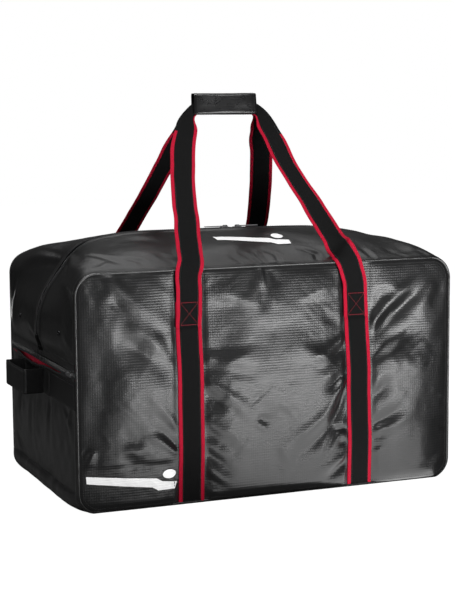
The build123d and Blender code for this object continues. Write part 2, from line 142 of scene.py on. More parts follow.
class Build:
    """Collects vertices and faces in millimetres for one piece."""

    def __init__(self):
        self.V, self.UV, self.F, self.M, self.n = [], [], [], [], 0

    def add(self, V, F, mat=0, uv=None):
        V = np.asarray(V, float).reshape(-1, 3)
        self.V.append(V)
        self.UV.append(np.zeros((len(V), 2)) if uv is None else np.asarray(uv, float).reshape(-1, 2))
        for f in F:
            self.F.append([int(i) + self.n for i in f])
        self.M += [mat] * len(F) if np.isscalar(mat) else list(mat)
        self.n += len(V)

    def shell(self, P, uv, t, mat=0, inner=1, out=1, N=None):
        """Closed thin shell: the grid P, and a copy of it pushed in by t."""
        nr, nc = P.shape[:2]
        n = normals(P) * out if N is None else N
        Q = P - n * (t if np.isscalar(t) else np.asarray(t)[..., None])
        i = np.arange(nr * nc).reshape(nr, nc)
        j = i + nr * nc
        a, b, c, d = i[:-1, :-1], i[:-1, 1:], i[1:, 1:], i[1:, :-1]
        top = np.stack([a, b, c, d], -1).reshape(-1, 4)
        low = np.stack([a, d, c, b], -1).reshape(-1, 4) + nr * nc
        rims = []
        for p, q in ((i[0], "r0"), (i[-1][::-1], "r1"), (i[:, 0][::-1], "c0"), (i[:, -1], "c1")):
            rims.append(np.stack([p[1:], p[:-1], p[:-1] + nr * nc, p[1:] + nr * nc], -1))
        rim = np.concatenate(rims)
        F = np.concatenate([top, low, rim])
        if out < 0:
            F = F[:, ::-1]
        if np.isscalar(mat):
            m = [mat] * len(top)
        else:
            m = list(np.asarray(mat).reshape(-1))
        self.add(np.concatenate([P.reshape(-1, 3), Q.reshape(-1, 3)]), F.tolist(),
                 m + [inner] * len(low) + [inner] * len(rim), np.concatenate([uv.reshape(-1, 2)] * 2))
        return n

    def ribbon(self, C, N, half, hide=None, red=True, mats=(0, 1), twist=None, seed=0, wave=1.0, s0=0.0, close=True, thick=2.0, ripple=0.35):
        """Webbing along the centre line C with outward side N."""
        n = len(C)
        T = np.gradient(C, axis=0)
        T /= np.linalg.norm(T, axis=1, keepdims=True)
        N = N - T * np.sum(N * T, axis=1, keepdims=True)
        N /= np.linalg.norm(N, axis=1, keepdims=True)
        W = np.cross(T, N)
        if twist is not None:
            c, s = np.cos(twist)[:, None], np.sin(twist)[:, None]
            N, W = N * c + W * s, W * c - N * s
        if isinstance(half, tuple):
            half_n, half_p = (np.asarray(q, float) for q in half)
        else:
            half_n = half_p = np.full(n, half, float) if np.isscalar(half) else np.asarray(half, float)
        h = thick / 2
        if red:
            w = np.array([-1, -.985, -.93, -.74, -.72, -.70, -.5, -.25, 0, .25, .5, .70, .72, .74, .93, .985, 1])
            t = np.array([.15, .8, 1.12, 1.15, .8, 1, 1, 1, 1, 1, 1, 1, .8, 1.15, 1.12, .8, .15]) * h
        else:
            w = np.array([-1, -.985, -.94, -.7, -.45, -.2, 0, .2, .45, .7, .94, .985, 1])
            t = np.array([.15, .75, 1, 1, 1, 1, 1, 1, 1, 1, 1, .75, .15]) * h
        k = len(w)
        ww = np.concatenate([w, w[::-1]])
        tt = np.concatenate([t, -t[::-1]])
        s = arclen(C) + s0
        S = s[:, None] + 0 * ww[None]
        lateral = np.where(ww[None] < 0, half_n[:, None], half_p[:, None]) * ww[None] + wave * 0.7 * vnoise(s / 34.0, 0 * s, seed + 5)[:, None] * (np.abs(ww) > .6)[None]
        lift = tt[None] + wave * ripple * vnoise(S / 26.0, ww[None] * 1.3, seed + 9) + wave * 0.9 * vnoise(S / 75.0, ww[None] * 0.5, seed + 11)
        if wave == 0:
            lift = tt[None] + 0 * S
        P = C[:, None, :] + W[:, None, :] * lateral[..., None] + N[:, None, :] * lift[..., None]
        m = len(ww)
        i = np.arange(n * m).reshape(n, m)
        a, b = i[:-1], i[1:]
        quads = np.stack([a, np.roll(a, -1, 1), np.roll(b, -1, 1), b], -1)
        is_red = np.zeros(m, bool)
        if red:
            for q in range(m):
                r = (q + 1) % m
                is_red[q] = abs(ww[q] + ww[r]) / 2 > .725
        mat = np.where(is_red[None], mats[1], mats[0]) + np.zeros((n - 1, 1), int)
        if hide is not None:
            side_w = np.array([ww[q] + ww[(q + 1) % m] for q in range(m)])
            mat = np.where(hide[0][:-1, None] & (side_w * hide[1] > 0)[None], mats[0], mat)
        F = quads.reshape(-1, 4).tolist()
        M = mat.reshape(-1).tolist()
        if close:
            for ring, rev in ((i[0], False), (i[-1], True)):
                for q in range(k - 1):
                    f = [ring[q], ring[q + 1], ring[m - 2 - q], ring[m - 1 - q]]
                    F.append(f[::-1] if not rev else f)
                    M.append(mats[1] if red and abs(w[q] + w[q + 1]) / 2 > .725 else mats[0])
        uv = np.stack([25.0 * ww[None] + 0 * S, S], -1)
        self.add(P, F, M, uv)
        return T, N, W

    def stitches(self, pts, nrm, mat, pitch=4.4, length=3.3, r=0.42, lift=0.1):
        """A row of sewn stitches along a line lying on a surface."""
        pts, nrm = np.asarray(pts, float), np.asarray(nrm, float)
        s = arclen(pts)
        n = int(s[-1] / pitch)
        if n < 1:
            return
        mid = (np.arange(n) + 0.5) * s[-1] / n
        f = lambda A, x: np.stack([np.interp(x, s, A[:, k]) for k in range(3)], -1)
        c, nn = f(pts, mid), f(nrm, mid)
        t = f(pts, mid + 0.5) - f(pts, mid - 0.5)
        t /= np.maximum(np.linalg.norm(t, axis=1, keepdims=True), 1e-9)
        nn -= t * np.sum(nn * t, axis=1, keepdims=True)
        nn /= np.linalg.norm(nn, axis=1, keepdims=True)
        b = np.cross(t, nn)
        c = c + nn * lift
        L = length / 2
        rows = [c - t * L - nn * .35]
        for g in (-.55, .55):
            rows += [c + t * L * g + b * r, c + t * L * g + nn * r, c + t * L * g - b * r, c + t * L * g - nn * r]
        rows.append(c + t * L - nn * .35)
        V = np.stack(rows, 1).reshape(-1, 3)
        base = (np.arange(n) * 10)[:, None]
        local = [[0, 2, 1], [0, 3, 2], [0, 4, 3], [0, 1, 4], [9, 5, 6], [9, 6, 7], [9, 7, 8], [9, 8, 5]]
        quad = [[1, 2, 6, 5], [2, 3, 7, 6], [3, 4, 8, 7], [4, 1, 5, 8]]
        F = [[x + k for x in f_] for k in base[:, 0].tolist() for f_ in local + quad]
        self.add(V, F, mat)

    def tube(self, C, r, mat=0, seg=12, closed=False, up=(0, 0, 1), caps=True):
        C = np.asarray(C, float)
        n = len(C)
        T = (np.roll(C, -1, 0) - np.roll(C, 1, 0)) if closed else np.gradient(C, axis=0)
        T /= np.linalg.norm(T, axis=1, keepdims=True)
        U = np.asarray(up, float)[None] - T * (T @ np.asarray(up, float))[:, None]
        U /= np.linalg.norm(U, axis=1, keepdims=True)
        B = np.cross(T, U)
        r = np.full(n, r, float) if np.isscalar(r) else np.asarray(r, float)
        a = np.linspace(0, 2 * np.pi, seg, endpoint=False)
        P = C[:, None] + r[:, None, None] * (U[:, None] * np.cos(a)[None, :, None] + B[:, None] * np.sin(a)[None, :, None])
        i = np.arange(n * seg).reshape(n, seg)
        a0 = i if closed else i[:-1]
        b0 = np.roll(i, -1, 0) if closed else i[1:]
        q = np.stack([a0, b0, np.roll(b0, -1, 1), np.roll(a0, -1, 1)], -1).reshape(-1, 4)
        F = q.tolist()
        if not closed and caps:
            F += [i[0].tolist(), i[-1][::-1].tolist()]
        s = arclen(C)
        uv = np.stack([np.broadcast_to(a[None] * 3, (n, seg)), np.broadcast_to(s[:, None], (n, seg))], -1)
        self.add(P, F, mat, uv)

    def obj(self, name, mats, sharp=48.0, recalc=False):
        V = np.concatenate(self.V) * 0.001
        me = bpy.data.meshes.new(name)
        me.from_pydata(V.tolist(), [], self.F)
        for m in mats:
            me.materials.append(m)
        me.polygons.foreach_set("material_index", np.array(self.M, np.int32))
        layer = me.uv_layers.new(name="UVMap")
        loops = np.zeros(len(me.loops), np.int32)
        me.loops.foreach_get("vertex_index", loops)
        uv = np.concatenate(self.UV) * 0.001
        layer.data.foreach_set("uv", uv[loops].astype(np.float32).ravel())
        me.validate(verbose=False)
        if recalc:
            import bmesh
            bm = bmesh.new()
            bm.from_mesh(me)
            bmesh.ops.recalc_face_normals(bm, faces=bm.faces)
            bm.to_mesh(me)
            bm.free()
        me.polygons.foreach_set("use_smooth", np.ones(len(me.polygons), bool))
        me.set_sharp_from_angle(angle=math.radians(sharp))
        me.update()
        ob = bpy.data.objects.new(name, me)
        scene.collection.objects.link(ob)
        return ob


# ------------------------------------------------------------------ materials
class Nodes:
    """A material with short calls for its nodes."""

    def __init__(self, name, base, rough, metallic=0.0, spec=0.5, coat=0.0, coat_rough=0.15, sheen=0.0, sheen_rough=0.5):
        self.mat = bpy.data.materials.new(name)
        self.mat.use_nodes = True
        self.t = self.mat.node_tree
        self.b = self.t.nodes["Principled BSDF"]
        self.b.inputs["Base Color"].default_value = (*base, 1)
        self.b.inputs["Roughness"].default_value = rough
        self.b.inputs["Metallic"].default_value = metallic
        self.b.inputs["Specular IOR Level"].default_value = spec
        self.b.inputs["Coat Weight"].default_value = coat
        self.b.inputs["Coat Roughness"].default_value = coat_rough
        self.b.inputs["Sheen Weight"].default_value = sheen
        self.b.inputs["Sheen Roughness"].default_value = sheen_rough

    def new(self, kind, **props):
        n = self.t.nodes.new(kind)
        for k, v in props.items():
            setattr(n, k, v)
        return n

    def link(self, a, b):
        self.t.links.new(a, b)

    def mm(self, source="UV"):
        """Coordinates in millimetres."""
        c = self.new("ShaderNodeTexCoord")
        v = self.new("ShaderNodeVectorMath", operation="SCALE")
        v.inputs["Scale"].default_value = 1000.0
        self.link(c.outputs[source], v.inputs[0])
        return v.outputs[0]

    def split(self, vec):
        s = self.new("ShaderNodeSeparateXYZ")
        self.link(vec, s.inputs[0])
        return s.outputs

    def math(self, op, a, b=None, clamp=False):
        n = self.new("ShaderNodeMath", operation=op, use_clamp=clamp)
        for i, x in enumerate((a, b)):
            if x is None:
                continue
            if isinstance(x, (int, float)):
                n.inputs[i].default_value = x
            else:
                self.link(x, n.inputs[i])
        return n.outputs[0]

    def noise(self, vec, size, detail=3.0, rough=0.5, distortion=0.0):
        n = self.new("ShaderNodeTexNoise")
        n.inputs["Scale"].default_value = 1.0 / size
        n.inputs["Detail"].default_value = detail
        n.inputs["Roughness"].default_value = rough
        n.inputs["Distortion"].default_value = distortion
        self.link(vec, n.inputs["Vector"])
        return n.outputs["Fac"]

    def voronoi(self, vec, size, feature="F1"):
        n = self.new("ShaderNodeTexVoronoi", feature=feature)
        n.inputs["Scale"].default_value = 1.0 / size
        self.link(vec, n.inputs["Vector"])
        return n.outputs["Distance"]

    def wave(self, comp, pitch, phase=0.0):
        """0..1 ribs across one coordinate."""
        a = self.math("MULTIPLY_ADD", comp, 2 * math.pi / pitch)
        a.node.inputs[2].default_value = phase
        s = self.math("SINE", a)
        n = self.math("MULTIPLY_ADD", s, 0.5)
        n.node.inputs[2].default_value = 0.5
        return n

    def ramp(self, fac, a, b, lo, hi):
        n = self.new("ShaderNodeMapRange", clamp=True)
        self.link(fac, n.inputs["Value"])
        for k, v in (("From Min", a), ("From Max", b), ("To Min", lo), ("To Max", hi)):
            n.inputs[k].default_value = v
        return n.outputs["Result"]

    def colour(self, fac, c1, c2):
        n = self.new("ShaderNodeMix", data_type="RGBA")
        for sock, v in ((n.inputs["A"], c1), (n.inputs["B"], c2)):
            pass
        cols = [s for s in n.inputs if s.type == "RGBA"]
        for sock, v in zip(cols, (c1, c2)):
            if isinstance(v, tuple):
                sock.default_value = (*v, 1)
            else:
                self.link(v, sock)
        self.link(fac, n.inputs[0])
        return [s for s in n.outputs if s.type == "RGBA"][0]

    def bump(self, height, dist, strength=1.0, after=None):
        n = self.new("ShaderNodeBump")
        n.inputs["Distance"].default_value = dist
        n.inputs["Strength"].default_value = strength
        self.link(height, n.inputs["Height"])
        if after is not None:
            self.link(after, n.inputs["Normal"])
        return n.outputs["Normal"]

    def finish(self, colour=None, rough=None, normal=None):
        for sock, key in ((colour, "Base Color"), (rough, "Roughness"), (normal, "Normal")):
            if sock is not None:
                self.link(sock, self.b.inputs[key])
        return self.mat


def tarp(name, base, dark, r0, r1, ribs, source="UV", coat=0.0, grain=0.9):
    m = Nodes(name, base, 0.4, spec=0.62, coat=coat, coat_rough=0.22)
    v = m.mm(source)
    xyz = m.split(v)
    big, mid = m.noise(v, 95.0, 2.0), m.noise(v, 14.0, 4.0, 0.6)
    mott = m.math("ADD", m.math("MULTIPLY", big, 0.6), m.math("MULTIPLY", mid, 0.4))
    col = m.colour(m.ramp(mott, 0.35, 0.65, 0.0, 1.0), dark, base)
    scuff = m.ramp(m.noise(v, 5.0, 6.0, 0.75, 0.6), 0.66, 0.78, 0.0, 0.35)
    col = m.colour(scuff, col, tuple(min(1.0, c * 2.6 + 0.008) for c in base))
    rough = m.ramp(m.math("ADD", m.math("MULTIPLY", mott, 0.7), m.math("MULTIPLY", scuff, 0.5)), 0.3, 0.75, r0, r1)
    fine = m.voronoi(v, grain)
    if ribs:
        hor = m.wave(xyz[1], 5.2)
        ver = m.wave(xyz[0], 4.7)
        cloth = m.math("ADD", m.math("MULTIPLY", hor, ribs), m.math("MULTIPLY", ver, ribs * 0.55))
        h = m.math("ADD", cloth, m.math("MULTIPLY", fine, 0.16))
        n = m.bump(h, 0.00024)
    else:
        n = m.bump(m.math("ADD", m.math("MULTIPLY", fine, 0.5), m.math("MULTIPLY", m.noise(v, 1.8, 2.0), 0.5)), 0.00012)
    soft = m.noise(v, 40.0, 2.0, 0.45, 0.4)
    n = m.bump(soft, 0.0007, 1.0, n)
    return m.finish(col, rough, n)


def weave(name, base, dark, rough=0.86, source="UV", sheen=0.25, fuzz=1.0, spec=0.3):
    m = Nodes(name, base, rough, spec=spec, sheen=sheen, sheen_rough=0.45)
    v = m.mm(source)
    xyz = m.split(v)
    warp = m.wave(xyz[0], 2.3)
    shift = m.math("MULTIPLY_ADD", xyz[0], 0.62)
    shift.node.inputs[2].default_value = 0.0
    pick = m.wave(m.math("ADD", xyz[1], shift), 1.5)
    hair = m.noise(v, 0.7, 3.0, 0.7)
    h = m.math("ADD", m.math("MULTIPLY", warp, 0.5), m.math("MULTIPLY", m.math("MULTIPLY", pick, warp), 0.6))
    h = m.math("ADD", h, m.math("MULTIPLY", hair, 0.35 * fuzz))
    tone = m.math("ADD", m.math("MULTIPLY", h, 0.6), m.math("MULTIPLY", m.noise(v, 22.0, 3.0), 0.5))
    col = m.colour(m.ramp(tone, 0.45, 1.15, 0.0, 1.0), dark, base)
    r = m.ramp(hair, 0.3, 0.7, rough - 0.08, rough + 0.06)
    return m.finish(col, r, m.bump(h, 0.00038))


def metal(name, base, r0, r1, source="Object", metallic=1.0):
    m = Nodes(name, base, 0.3, metallic=metallic, spec=0.5)
    v = m.mm(source)
    cloud = m.noise(v, 4.0, 5.0, 0.65)
    scratch = m.noise(v, 0.55, 2.0, 0.4, 2.5)
    col = m.colour(m.ramp(cloud, 0.4, 0.72, 0.0, 1.0), base, tuple(c * 0.55 for c in base))
    r = m.ramp(m.math("ADD", m.math("MULTIPLY", cloud, 0.7), m.math("MULTIPLY", scratch, 0.4)), 0.35, 0.8, r0, r1)
    return m.finish(col, r, m.bump(scratch, 0.00004))


TARP = tarp("ribbed_tarpaulin", (0.0048, 0.0048, 0.0051), (0.0036, 0.0036, 0.0038), 0.31, 0.41, 0.42)
GUSSET = tarp("smooth_tarpaulin", (0.0060, 0.0060, 0.0063), (0.0045, 0.0045, 0.0047), 0.32, 0.42, 0.0)
INNER = tarp("inner_coating", (0.030, 0.030, 0.032), (0.018, 0.018, 0.019), 0.55, 0.75, 0.0)
PIPING = tarp("piping_vinyl", (0.007, 0.007, 0.0073), (0.004, 0.004, 0.004), 0.30, 0.40, 0.0, coat=0.12)
WEB = weave("webbing_black", (0.0054, 0.0054, 0.0056), (0.0033, 0.0033, 0.0034), sheen=0.0, spec=0.12)
# same black webbing as the straps with a smoother, shinier finish; its colour is doubled as painted light on the dimly
# lit end band and loop run, while the loop legs keep the darker webbing
LIGHTENED_WEB = weave("webbing_band_painted_light", (0.0105, 0.0105, 0.0110), (0.0062, 0.0062, 0.0064), rough=0.55, sheen=0.0, spec=0.35)
RED = weave("webbing_red", (0.43, 0.0040, 0.029), (0.34, 0.0018, 0.019), rough=0.7, sheen=0.0, spec=0.15)
TAPE = weave("zip_tape", (0.014, 0.014, 0.0145), (0.007, 0.007, 0.007), rough=0.8)
# crimson lining fabric; its colour is raised close to full strength as painted light, since the pocket mouth sits in
# shade
LINING_PAINTED_BRIGHT = weave("crimson_lining_painted_light", (0.95, 0.018, 0.085), (0.80, 0.010, 0.060), rough=0.62, sheen=0.1)
STOP = weave("stop_tab_black", (0.0030, 0.0030, 0.0030), (0.0020, 0.0020, 0.0020), rough=0.8, sheen=0.0, spec=0.1)
THREAD = weave("black_thread", (0.030, 0.030, 0.031), (0.016, 0.016, 0.016), rough=0.6)
RED_THREAD = weave("red_thread", (0.46, 0.010, 0.035), (0.30, 0.004, 0.018), rough=0.6)
TEETH = metal("zip_coil", (0.030, 0.030, 0.031), 0.3, 0.5, "UV", 0.0)
BLACK_METAL = metal("black_metal", (0.055, 0.055, 0.058), 0.28, 0.45)
DARK_METAL = metal("dark_metal", (0.42, 0.42, 0.43), 0.34, 0.50)
BRIGHT_METAL = metal("bright_metal", (0.86, 0.86, 0.88), 0.34, 0.50)


def vinyl():
    m = Nodes("grip_vinyl", (0.009, 0.009, 0.0095), 0.42, spec=0.5)
    v = m.mm("UV")
    cells = m.voronoi(v, 1.5, "SMOOTH_F1")
    pores = m.noise(v, 0.8, 3.0)
    h = m.math("ADD", m.math("MULTIPLY", cells, 0.7), m.math("MULTIPLY", pores, 0.3))
    worn = m.ramp(m.noise(v, 24.0, 4.0, 0.6), 0.45, 0.75, 0.0, 0.8)
    col = m.colour(worn, (0.004, 0.004, 0.0043), (0.0085, 0.0085, 0.009))
    r = m.ramp(m.math("ADD", worn, cells), 0.2, 1.4, 0.33, 0.23)
    return m.finish(col, r, m.bump(h, 0.00006))


def print_ink(name, base, dark):
    m = Nodes(name, base, 0.42, spec=0.45)
    v = m.mm("UV")
    crack = m.ramp(m.voronoi(v, 6.0, "DISTANCE_TO_EDGE"), 0.0, 0.02, 1.0, 0.0)
    speck = m.ramp(m.noise(v, 1.3, 5.0, 0.7), 0.62, 0.8, 0.0, 0.8)
    f = m.math("MAXIMUM", m.math("MULTIPLY", crack, 0.25), speck, clamp=True)
    xyz = m.split(v)
    cloth = m.math("MULTIPLY", m.wave(xyz[1], 5.2), 0.4)
    return m.finish(m.colour(f, base, dark), m.ramp(m.noise(v, 3.0), 0.3, 0.7, 0.36, 0.5), m.bump(cloth, 0.0002))


VINYL = vinyl()
WHITE_INK = print_ink("white_ink", (0.97, 0.97, 0.97), (0.90, 0.90, 0.90))
BLACK_INK = print_ink("black_ink", (0.008, 0.008, 0.008), (0.015, 0.015, 0.015))


# ------------------------------------------------------------------ front and back panels
def strap_centre(z, sx, front=True):
    """Centre line of a sewn strap; the front ones splay a little towards the base."""
    z = np.asarray(z, float)
    if not front:
        return sx * 181.0 + 0 * z
    if sx < 0:
        return np.interp(z, [0, 100, 316, 404, 472], [-173.0, -173.0, -175.0, -176.0, -176.0])
    return np.interp(z, [0, 60, 115, 180, 240, 300, 344, 385, 404], [198.0, 197.0, 196.0, 194.0, 193.0, 191.5, 191.0, 188.5, 187.0])


def panel_rows(step=4.0):
    """Heights of the grid rows, closer together where the outline turns."""
    a = np.linspace(0, np.pi / 2, 15)
    low = BOT_R * (1 - np.cos(a))
    low = BOT_R - BOT_R * np.sin(np.linspace(np.pi / 2, 0, 15))
    top = SIDE - TOP_R + TOP_R * np.sin(np.linspace(0, np.pi / 2, 15))
    n = int((SIDE - TOP_R - BOT_R) / step)
    mid = np.linspace(BOT_R, SIDE - TOP_R, n + 1)
    return np.concatenate([low[:-1], mid, top[1:]])


def half_width(z):
    w = np.full(np.shape(z), HX, float)
    low, top = z < BOT_R, z > SIDE - TOP_R
    w = np.where(low, HX - BOT_R + np.sqrt(np.maximum(BOT_R ** 2 - (BOT_R - z) ** 2, 0)), w)
    return np.where(top, HX - TOP_R + np.sqrt(np.maximum(TOP_R ** 2 - (z - SIDE + TOP_R) ** 2, 0)), w)


def edge_distance(x, z):
    ax = np.abs(x)
    d = np.minimum(np.minimum(HX - ax, SIDE - z), z)
    tx, tz = ax - (HX - TOP_R), z - (SIDE - TOP_R)
    d = np.where((tx > 0) & (tz > 0), TOP_R - np.hypot(tx, tz), d)
    bx, bz = ax - (HX - BOT_R), BOT_R - z
    d = np.where((bx > 0) & (bz > 0), BOT_R - np.hypot(bx, bz), d)
    return np.maximum(d, 0)


def strap_lift(z):
    """How far the panel stands out where a strap holds it."""
    return 0.6 + 6.4 * sstep(352, 230, z) * sstep(0, 120, z)


FRONT = [
    # pleats gathered under the middle of the top seam
    ([(-14, 462), (-7, 425), (-1, 396)], 4.2, 4.5, 1.0, 0.15),
    ([(-23, 440), (-20, 400), (-17, 368)], 4.0, 8.0, 0.6, 0.7),
    ([(0, 455), (10, 432), (16, 418)], 3.6, 7.0, 1.0, 0.1),
    ([(-36, 462), (-52, 425), (-60, 395)], 2.0, 9.0, 1.0, 0.2),
    # left side of the middle cell
    ([(-150, 312), (-108, 303), (-70, 300)], 2.2, 11.0, 1.0, 0.1),
    ([(-152, 272), (-84, 262), (-20, 238)], 3.8, 12.0, 1.0, 0.2),
    ([(-130, 250), (-74, 212), (-18, 180)], 4.2, 12.0, 0.5, 0.5),
    ([(-152, 224), (-92, 186), (-44, 138)], 5.4, 12.5, 1.0, 0.4),
    ([(-42, 170), (4, 146)], 3.0, 7.0, 0.7, 0.5),
    ([(-152, 152), (-112, 116), (-84, 96)], 4.2, 10.5, 1.0, 0.3),
    ([(-152, 108), (-112, 76), (-74, 38)], 7.4, 10.0, 1.0, 0.3),
    ([(-107, 146), (-93, 105), (-70, 70)], 2.6, 10.0, 0.5, 0.5),
    ([(-150, 52), (-110, 30), (-80, 16)], 3.6, 8.0, 1.0, 0.3),
    # right side of the middle cell
    ([(164, 341), (139, 311), (132, 296)], 3.6, 9.0, 1.0, 0.4),
    ([(170, 300), (127, 267), (84, 243)], 6.6, 9.5, 1.0, 0.4),
    ([(170, 240), (134, 224), (98, 206)], 6.2, 8.0, 1.0, 0.4),
    ([(172, 214), (147, 164), (127, 135), (54, 78), (20, 50)], 9.5, 12.5, 1.0, 0.3),
    ([(170, 126), (140, 125), (117, 90), (104, 52)], 4.8, 6.0, 1.0, 0.3),
    ([(170, 99), (140, 93)], 3.6, 5.0, 1.0, 0.4),
    ([(170, 73), (150, 61)], 3.8, 5.5, 1.0, 0.4),
    ([(172, 58), (127, 30), (88, 10)], 7.0, 9.0, 1.0, 0.3),
    ([(-3, 112), (6, 78), (20, 43)], 2.6, 9.0, 0.6, 0.9),
    # left cell
    ([(-377, 462), (-368, 437), (-350, 412)], 4.6, 8.0, 1.0, 0.3),
    ([(-360, 464), (-350, 438), (-338, 420)], 3.0, 6.0, 1.0, 0.3),
    ([(-318, 464), (-300, 446), (-284, 426)], 4.4, 9.0, 1.0, 0.3),
    ([(-340, 430), (-312, 385), (-290, 345)], 4.2, 13.0, 0.7, 0.5),
    ([(-212, 300), (-235, 342), (-262, 372)], 3.6, 9.0, 1.0, 0.3),
    ([(-338, 352), (-254, 294), (-204, 221)], 6.0, 15.0, 0.6, 0.9),
    ([(-352, 350), (-356, 250), (-362, 160), (-376, 92)], 3.4, 22.0, 0.5, 0.8),
    ([(-205, 122), (-228, 146), (-262, 172)], 6.6, 8.0, 1.0, 0.3),
    ([(-205, 142), (-236, 174), (-262, 196)], 4.0, 6.5, 1.0, 0.3),
    ([(-332, 112), (-290, 92), (-240, 100)], 5.4, 12.0, 0.7, 0.6),
    ([(-374, 132), (-384, 106), (-398, 84)], -4.0, 7.0, 0.9, 0.7),
    ([(-206, 60), (-232, 84), (-250, 92)], 3.0, 7.0, 1.0, 0.3),
    # right cell
    ([(356, 424), (276, 352), (232, 300), (218, 236)], 8.5, 12.0, 0.9, 0.8),
    ([(216, 262), (256, 292), (322, 340)], 5.6, 10.0, 1.0, 0.5),
    ([(216, 352), (240, 384), (262, 424)], 4.0, 9.0, 1.0, 0.5),
    ([(400, 330), (362, 280), (330, 200)], 3.2, 16.0, 1.0, 0.5),
    ([(214, 122), (256, 142), (310, 176)], 4.8, 10.0, 1.0, 0.4),
    ([(212, 92), (238, 102), (262, 114)], 4.4, 6.0, 1.0, 0.3),
    ([(212, 70), (250, 94)], 3.2, 5.0, 1.0, 0.3),
    ([(210, 176), (240, 196), (276, 232)], 4.4, 10.0, 1.0, 0.3),
    ([(404, 166), (380, 160)], 3.0, 6.0, 1.0, 0.2),
    ([(404, 110), (378, 106)], 3.0, 6.0, 1.0, 0.2),
    ([(398, 420), (372, 380), (352, 330)], 3.4, 12.0, 0.8, 0.5),
    ([(392, 60), (350, 40), (300, 28)], 3.0, 10.0, 0.8, 0.4),
]
rng = np.random.RandomState(41)
BACK = []
for cx in (-160, 160):
    for k in range(9):
        z0 = 40 + k * 38 + rng.uniform(-12, 12)
        for s in (-1, 1):
            ln = rng.uniform(40, 125)
            dz = rng.uniform(-45, 30)
            x0 = cx + s * 14
            BACK.append(([(x0, z0), (x0 + s * ln * .5, z0 + dz * .4), (x0 + s * ln, z0 + dz)], rng.uniform(2.5, 6.5), rng.uniform(6, 11), 1.0, 0.2))
for x0 in (-372, -318, -60, 12, 64, 250, 330, 380):
    BACK.append(([(x0, 462), (x0 + rng.uniform(-8, 8), 425), (x0 + rng.uniform(-24, 24), 385)], rng.uniform(2.5, 4.5), rng.uniform(6, 10), 1.0, 0.2))


def panel_height(x, z, front=True):
    """How far the panel bulges outward, in millimetres."""
    seed = 1 if front else 50
    d = edge_distance(x, z)
    ds = np.minimum(np.abs(x - strap_centre(z, -1, front)), np.abs(x - strap_centre(z, 1, front)))
    upper = sstep(270, 315, z) * sstep(418, 385, z) * sstep(0, 40, x + 176.0) if front else 0.0
    free = sstep(25, 84 + 70 * upper, ds)
    q = lambda dist, length: np.sin(np.pi / 2 * np.clip(dist / length, 0, 1))
    reach = q(x + HX, 118.0) * q(HX - x, 84.0) * q(SIDE - z, 104.0) * q(z, 26.0)
    middle = np.exp(-(x / 190.0) ** 4)
    h = 3.0 * (1 - np.exp(-d / 4.0)) + reach * (1.2 + 6.0 * sstep(352, 230, z) + (7.0 + 3.0 * middle) * free)
    for k, (pts, depth, width, a0, a1) in enumerate(FRONT if front else BACK):
        lean = 0.22 * (-1) ** k
        low = sstep(275, 200, np.mean([p[1] for p in pts]))
        h = h + fold(x, z, pts, depth * (0.68 + 0.34 * low), width * (1.25 - 0.12 * low), a0, a1, 0.34, lean) * (1 - np.exp(-d / 9.0))
    h = h + (2.3 * vnoise(x / 96.0, z / 80.0, seed) + 1.1 * vnoise(x / 43.0 + 3, z / 50.0, seed + 1)
             + 0.26 * vnoise(x / 16.0, z / 21.0, seed + 2)) * (1 - np.exp(-d / 26.0)) * (0.4 + 0.6 * sstep(30, 76, ds))
    patch = sstep(-0.10, 0.45, vnoise(x / 105.0, z / 95.0, seed + 5) + 0.35 * sstep(110, 30, ds))
    tilt = np.where(x < -176, -1.0, np.where(x < 8, 1.0, np.where(x < 190, -1.0, 1.0)))
    u, v = (x + tilt * z) * 0.7071, (z - tilt * x) * 0.7071
    h = h + patch * (1 - np.exp(-d / 30.0)) * (1.15 * (0.42 - np.abs(vnoise(u / 52.0, v / 19.0, seed + 6))) + 0.45 * (0.42 - np.abs(vnoise(u / 24.0, v / 9.5, seed + 7))))
    # small puckers round the print
    if front:
        near = np.exp(-((z - 84) / 8.0) ** 2) + np.exp(-((z - 32) / 7.0) ** 2)
        h = h + 0.8 * near * sstep(-395, -380, x) * sstep(-206, -222, x) * vnoise(x / 7.0, z / 16.0, 77)
        flat = sstep(44, 30, np.abs(z - 56)) * sstep(112, 96, np.abs(x + 300))
        h = h * (1 - 0.3 * flat) + 0.3 * flat * 6.0
    hold = sstep(40, 26.5, ds)
    h = h * (1 - hold) + hold * (strap_lift(z) + 0.45)
    return np.maximum(h, 0.0)


def make_panel(side):
    front = side < 0
    z = panel_rows()
    u = np.linspace(-1, 1, 209)
    zz = np.repeat(z[:, None], len(u), 1)
    xx = half_width(z)[:, None] * u[None]
    h = panel_height(xx, zz, front)
    P = np.stack([xx, side * (HY + h), zz], -1)
    B = Build()
    B.shell(P, np.stack([xx, zz], -1), 2.0, 0, 1, out=1 if front else -1)
    # seam stitching just inside the piping
    a = []
    for t in np.linspace(0, 1, 900):
        a.append(outline_point(t, 9.5))
    a = np.array(a)
    hh = panel_height(a[:, 0], a[:, 1], front)
    line = np.stack([a[:, 0], side * (HY + hh + 0.1), a[:, 1]], -1)
    B.stitches(line, np.tile([0, side, 0], (len(a), 1)), 2, lift=0.05)
    ob = B.obj("front_panel_cloth" if front else "back_panel_cloth", [TARP, INNER, THREAD])
    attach(ob, "bag_shell")
    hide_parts("front_panel" if front else "back_panel")
    return ob


